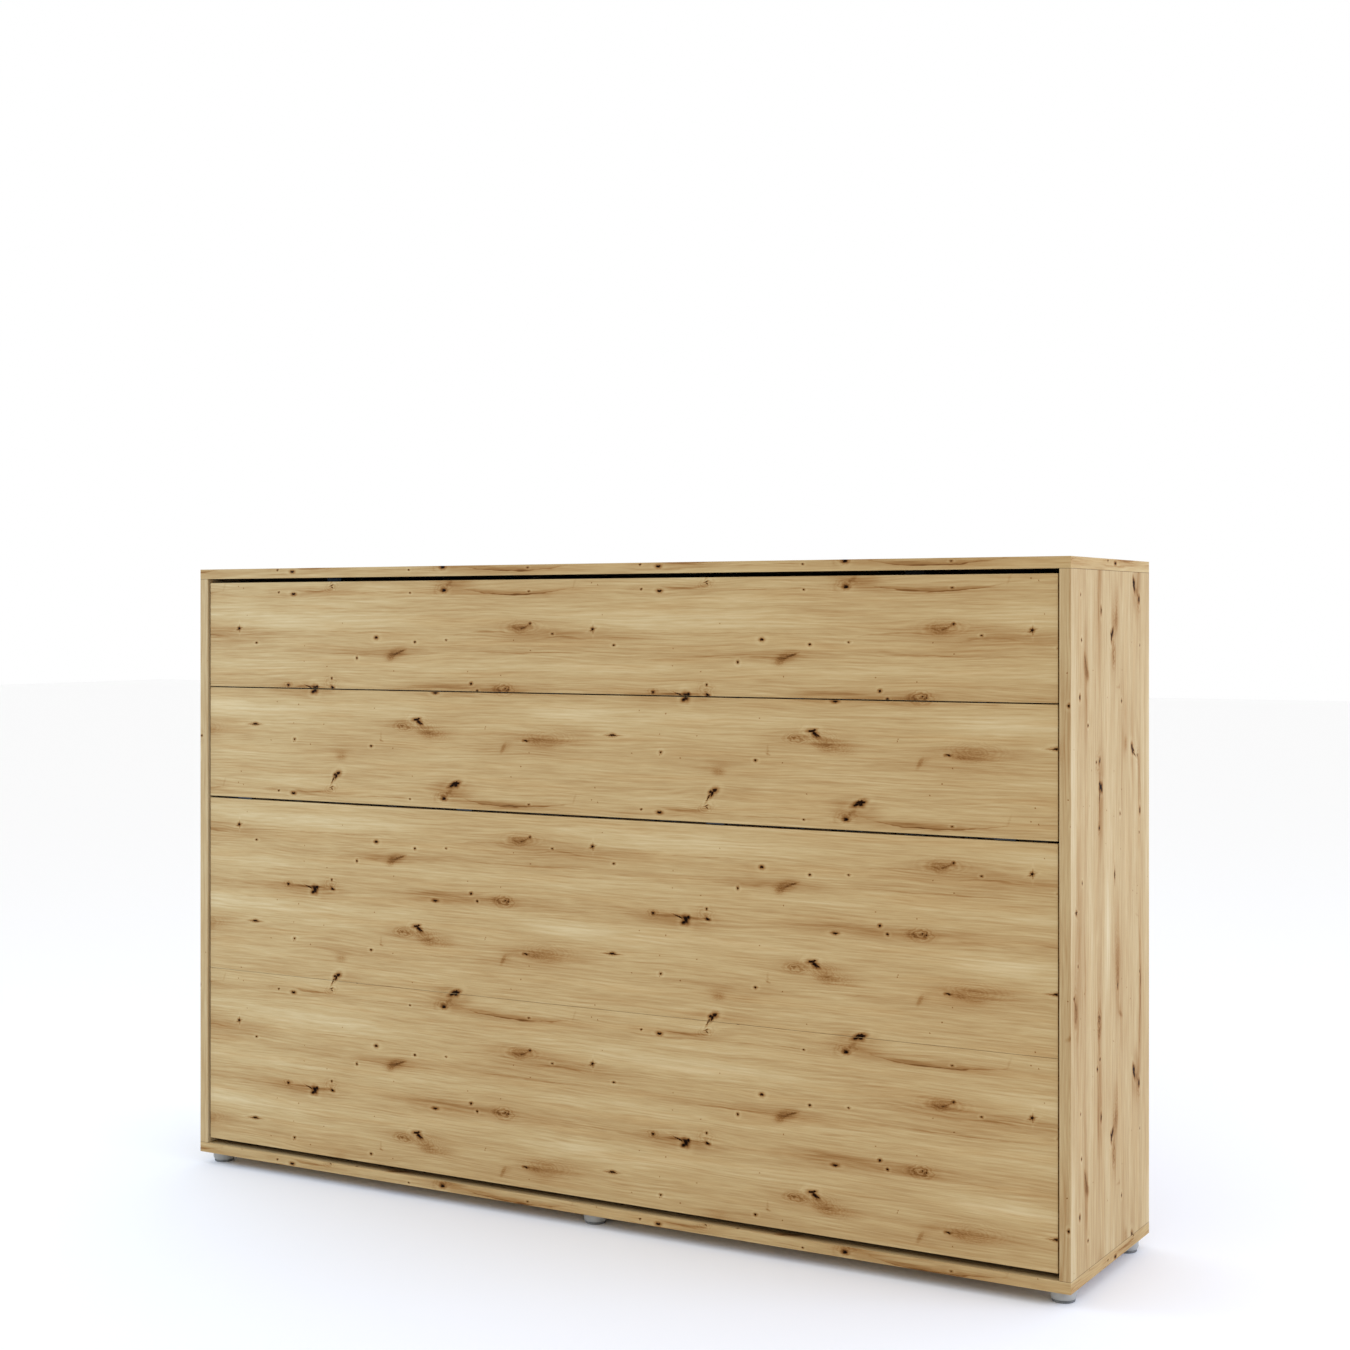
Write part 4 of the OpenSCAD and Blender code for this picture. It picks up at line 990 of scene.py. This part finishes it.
flat_place = shell_points[:, [0, 2]][shell_faces]
step_round = np.linalg.norm(np.diff(front[np.append(rim, rim[0])], axis=0), axis=1)
round_at = np.concatenate([[0.0], np.cumsum(step_round)])
quad_row, quad_column = np.divmod(np.arange(len(band_faces)), len(rim))
for corner, (up, on) in enumerate([(1, 0), (1, 1), (0, 1), (0, 0)]):
    flat_place[on_band, corner, 0] = round_at[quad_column + on]
    flat_place[on_band, corner, 1] = (quad_row + up) * 2 * half[1] / CELLS_Y
cloth_map = mattress.data.uv_layers.new(name="cloth")
cloth_map.data.foreach_set("uv", flat_place.ravel())


def swell(obj, pins, pressure, spare, frames, most):
    """Runs Cloth with the pinned points held.

    spare is the extra cloth between the pins, as a share of its length. most is how far a point
    may move along x, y and z in metres: movement bends over towards it and never passes it.
    """
    group = obj.vertex_groups.new(name="stitches")
    group.add(np.flatnonzero(pins).tolist(), 1.0, "REPLACE")
    cloth = obj.modifiers.new("cloth", "CLOTH")
    settings = cloth.settings
    settings.vertex_group_mass = group.name
    settings.use_pressure = True
    settings.uniform_pressure_force = pressure
    settings.shrink_min = -spare
    settings.quality = 4
    settings.mass = 0.15
    settings.bending_stiffness = 0.05
    settings.effector_weights.gravity = 0.0
    cloth.collision_settings.use_collision = False
    cloth.point_cache.frame_start = 1
    cloth.point_cache.frame_end = frames
    for step in range(1, frames + 1):
        scene.frame_set(step)
    view = bpy.context.evaluated_depsgraph_get()
    swollen = np.zeros(3 * len(obj.data.vertices))
    obj.evaluated_get(view).data.vertices.foreach_get("co", swollen)
    obj.modifiers.remove(cloth)
    scene.frame_set(1)
    rest = np.zeros_like(swollen)
    obj.data.vertices.foreach_get("co", rest)
    move = (swollen - rest).reshape(-1, 3)
    kept = move / (1.0 + np.abs(move / most) ** 4) ** 0.25
    obj.data.vertices.foreach_set("co", rest + kept.ravel())
    obj.data.update()
    return np.abs(move).max(axis=0), np.abs(kept).max(axis=0)


room = np.array([BAND_DROP, QUILT_DROP, BAND_DROP]) - 0.0003
pushed, kept = swell(mattress, pins, pressure=4.0, spare=0.018, frames=18, most=room)
print("the cloth is pushed by", 1000 * pushed, "mm and swells by", 1000 * kept, "mm")
smooth = mattress.modifiers.new("smooth", "SUBSURF")
smooth.levels = smooth.render_levels = 1
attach(mattress, "bed")
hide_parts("mattress")

# %% [markdown]
# A cord of piping covers each seam between panel and band, and a zip runs round the middle of
# the band. Both are a profile carried round the same outline.


# %% Piping and zip
def carried_round(name, outline, normals, y, profile):
    """A profile, as (outward, along y) pairs, carried round the mattress at the height y."""
    out, side = np.asarray(profile, float).T
    points = np.zeros((len(outline), len(out), 3))
    points[..., 0] = middle[0] + outline[:, None, 0] + normals[:, None, 0] * out
    points[..., 1] = y + side
    points[..., 2] = middle[2] + outline[:, None, 1] + normals[:, None, 1] * out
    faces = grid_quads(len(outline), len(out), close_rows=True).tolist()
    return mesh_piece(name, points, faces, piping_cord)


PIPING = 0.0034  # radius of the cord
angles = np.linspace(0, math.tau, 10, endpoint=False)
circle = PIPING * np.stack([np.cos(angles), np.sin(angles)], axis=1)
zip_tape = [(0.0008, -0.009), (0.0008, -0.003), (0.0022, -0.0022), (0.0022, 0.0022)]
zip_tape += [(0.0008, 0.003), (0.0008, 0.009), (-0.001, 0.009), (-0.001, -0.009)]
seam, seam_out = rounded_outline(half[0], half[2], CORNER, 0.01)
for name, side, profile in (
    ("piping_front", -1, circle), ("piping_back", 1, circle), ("cover_zip", 0, zip_tape)
):
    trim = carried_round(name, seam, seam_out, middle[1] + side * half[1], profile)
    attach(trim, "bed")
print("piping and zip:", len(seam), "points round")

# %% [markdown]
# ## The straps
#
# Two webbing straps keep the mattress on its frame when the bed stands up. Each starts at an
# anchor on the lower rail, runs round the mattress and ends at the upper rail. The webbing is
# a flat oval profile carried along that route, with its corners rounded over the foam's edges.


# %% Webbing
def rounded_route(corners, radius, spacing):
    """Points along straight runs through corners, each corner rounded by an arc of radius."""
    route = [np.array(corners[0])]
    for before, at, after in zip(corners, corners[1:], corners[2:]):
        before, at, after = (np.array(p, float) for p in (before, at, after))
        back, on = (before - at), (after - at)
        back, on = back / np.linalg.norm(back), on / np.linalg.norm(on)
        hub = at + radius * (back + on)
        angle = np.linspace(0, math.pi / 2, 8)
        arc = hub - radius * (np.cos(angle)[:, None] * on + np.sin(angle)[:, None] * back)
        route.extend(arc)
    route.append(np.array(corners[-1]))
    route = np.array(route)
    lengths = np.concatenate([[0], np.cumsum(np.linalg.norm(np.diff(route, axis=0), axis=1))])
    s = np.linspace(0, lengths[-1], int(lengths[-1] / spacing))
    return np.stack([np.interp(s, lengths, route[:, k]) for k in (0, 1)], axis=1)


def webbing(name, centre_x, route, width, thickness):
    """A flat strap: a stadium-shaped profile carried along a route of (y, z) points."""
    ahead = np.gradient(route, axis=0)
    ahead /= np.linalg.norm(ahead, axis=1, keepdims=True)
    lift = np.stack([-ahead[:, 1], ahead[:, 0]], axis=1)
    flat = width / 2 - thickness / 2
    ends = np.linspace(-math.pi / 2, math.pi / 2, 5)
    right = np.stack([flat + thickness / 2 * np.cos(ends), thickness / 2 * np.sin(ends)], axis=1)
    profile = np.concatenate([right, -right])[::-1]
    points = np.zeros((len(route), len(profile), 3))
    points[..., 0] = centre_x + profile[None, :, 0]
    points[..., 1] = route[:, None, 0] + lift[:, None, 0] * profile[None, :, 1]
    points[..., 2] = route[:, None, 1] + lift[:, None, 1] * profile[None, :, 1]
    return mesh_piece(name, points, capped_tube(*points.shape[:2]), strap_webbing)


STRAP_T = 0.0015
for side in ("left", "right"):
    low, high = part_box("strap_" + side)
    skin = STRAP_T / 2
    far_y, low_z, high_z = high.y - skin, low.z + skin, high.z - skin
    corners = [(low.y, low_z), (far_y, low_z), (far_y, high_z), (low.y, high_z)]
    route = rounded_route(corners, 0.006, 0.004)
    strap = webbing("webbing_" + side, (low.x + high.x) / 2, route, high.x - low.x, STRAP_T)
    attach(strap, "bed")
    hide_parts("strap_" + side)
    print("strap", side, "points:", len(route))

# %% [markdown]
# Each strap is tightened with a tri-glide: a wire frame with a bar across its middle. The loose
# end of the webbing doubles back over the strap below it. The frame is a round wire carried
# round a small rounded rectangle, and the bar is a straight length of the same wire.

# %% Tri-glides
WIRE = 0.0016  # radius of the wire
SIDES = 10
BUCKLE_Z = 0.86
LOOSE_START = 0.022  # how far above the buckle the loose end starts
LOOSE_END = 0.13
# The loose end runs over the bar: how far along it, and how far it lifts, in wire radii
HUMP_AT = [0, 0.08, 0.14, 0.24, 0.32, 1]
HUMP_LIFT = [0.0, 0.0, 2.6, 2.6, 0.0, 0.0]


def round_wire(name, centre_line, closed):
    """A wire: a circle of points square to each point of a centre line."""
    ahead = np.roll(centre_line, -1, axis=0) - np.roll(centre_line, 1, axis=0)
    if not closed:
        ahead = np.gradient(centre_line, axis=0)
    ahead /= np.linalg.norm(ahead, axis=1, keepdims=True)
    lift = np.array([0.0, 1.0, 0.0])
    out = np.cross(ahead, lift)
    turn = np.linspace(0, -math.tau, SIDES, endpoint=False)
    ring = np.cos(turn)[None, :, None] * out[:, None, :] + np.sin(turn)[None, :, None] * lift
    points = centre_line[:, None, :] + WIRE * ring
    faces = capped_tube(len(centre_line), SIDES)
    if closed:
        faces = grid_quads(len(centre_line), SIDES, close_rows=True).tolist()
    return mesh_piece(name, points, faces, finishes["zinc_steel"])


for side in ("left", "right"):
    low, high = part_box("strap_" + side)
    centre_x, width = (low.x + high.x) / 2, high.x - low.x
    middle_of_buckle = np.array([centre_x, high.y + WIRE + STRAP_T, BUCKLE_Z])
    half_buckle = width / 2 + 3 * WIRE
    loop = rounded_outline(half_buckle, 0.014, 0.005, 0.002)[0]
    loop = np.insert(loop, 1, 0.0, axis=1) + middle_of_buckle
    frame_wire = round_wire("tri_glide_" + side, loop, True)
    across = np.linspace(-half_buckle, half_buckle, 9)
    bar_line = across[:, None] * np.array([1.0, 0.0, 0.0]) + middle_of_buckle
    bar = round_wire("tri_glide_bar_" + side, bar_line, False)
    run = np.linspace(0, 1, 40)
    tail_y = high.y + 1.2 * STRAP_T + np.interp(run, HUMP_AT, HUMP_LIFT) * WIRE
    tail = np.stack([tail_y, BUCKLE_Z + LOOSE_START - run * LOOSE_END], axis=1)
    loose = webbing("loose_end_" + side, centre_x, tail, width, STRAP_T)
    for piece in (frame_wire, bar, loose):
        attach(piece, "bed")
print("tri-glides at z =", BUCKLE_Z)
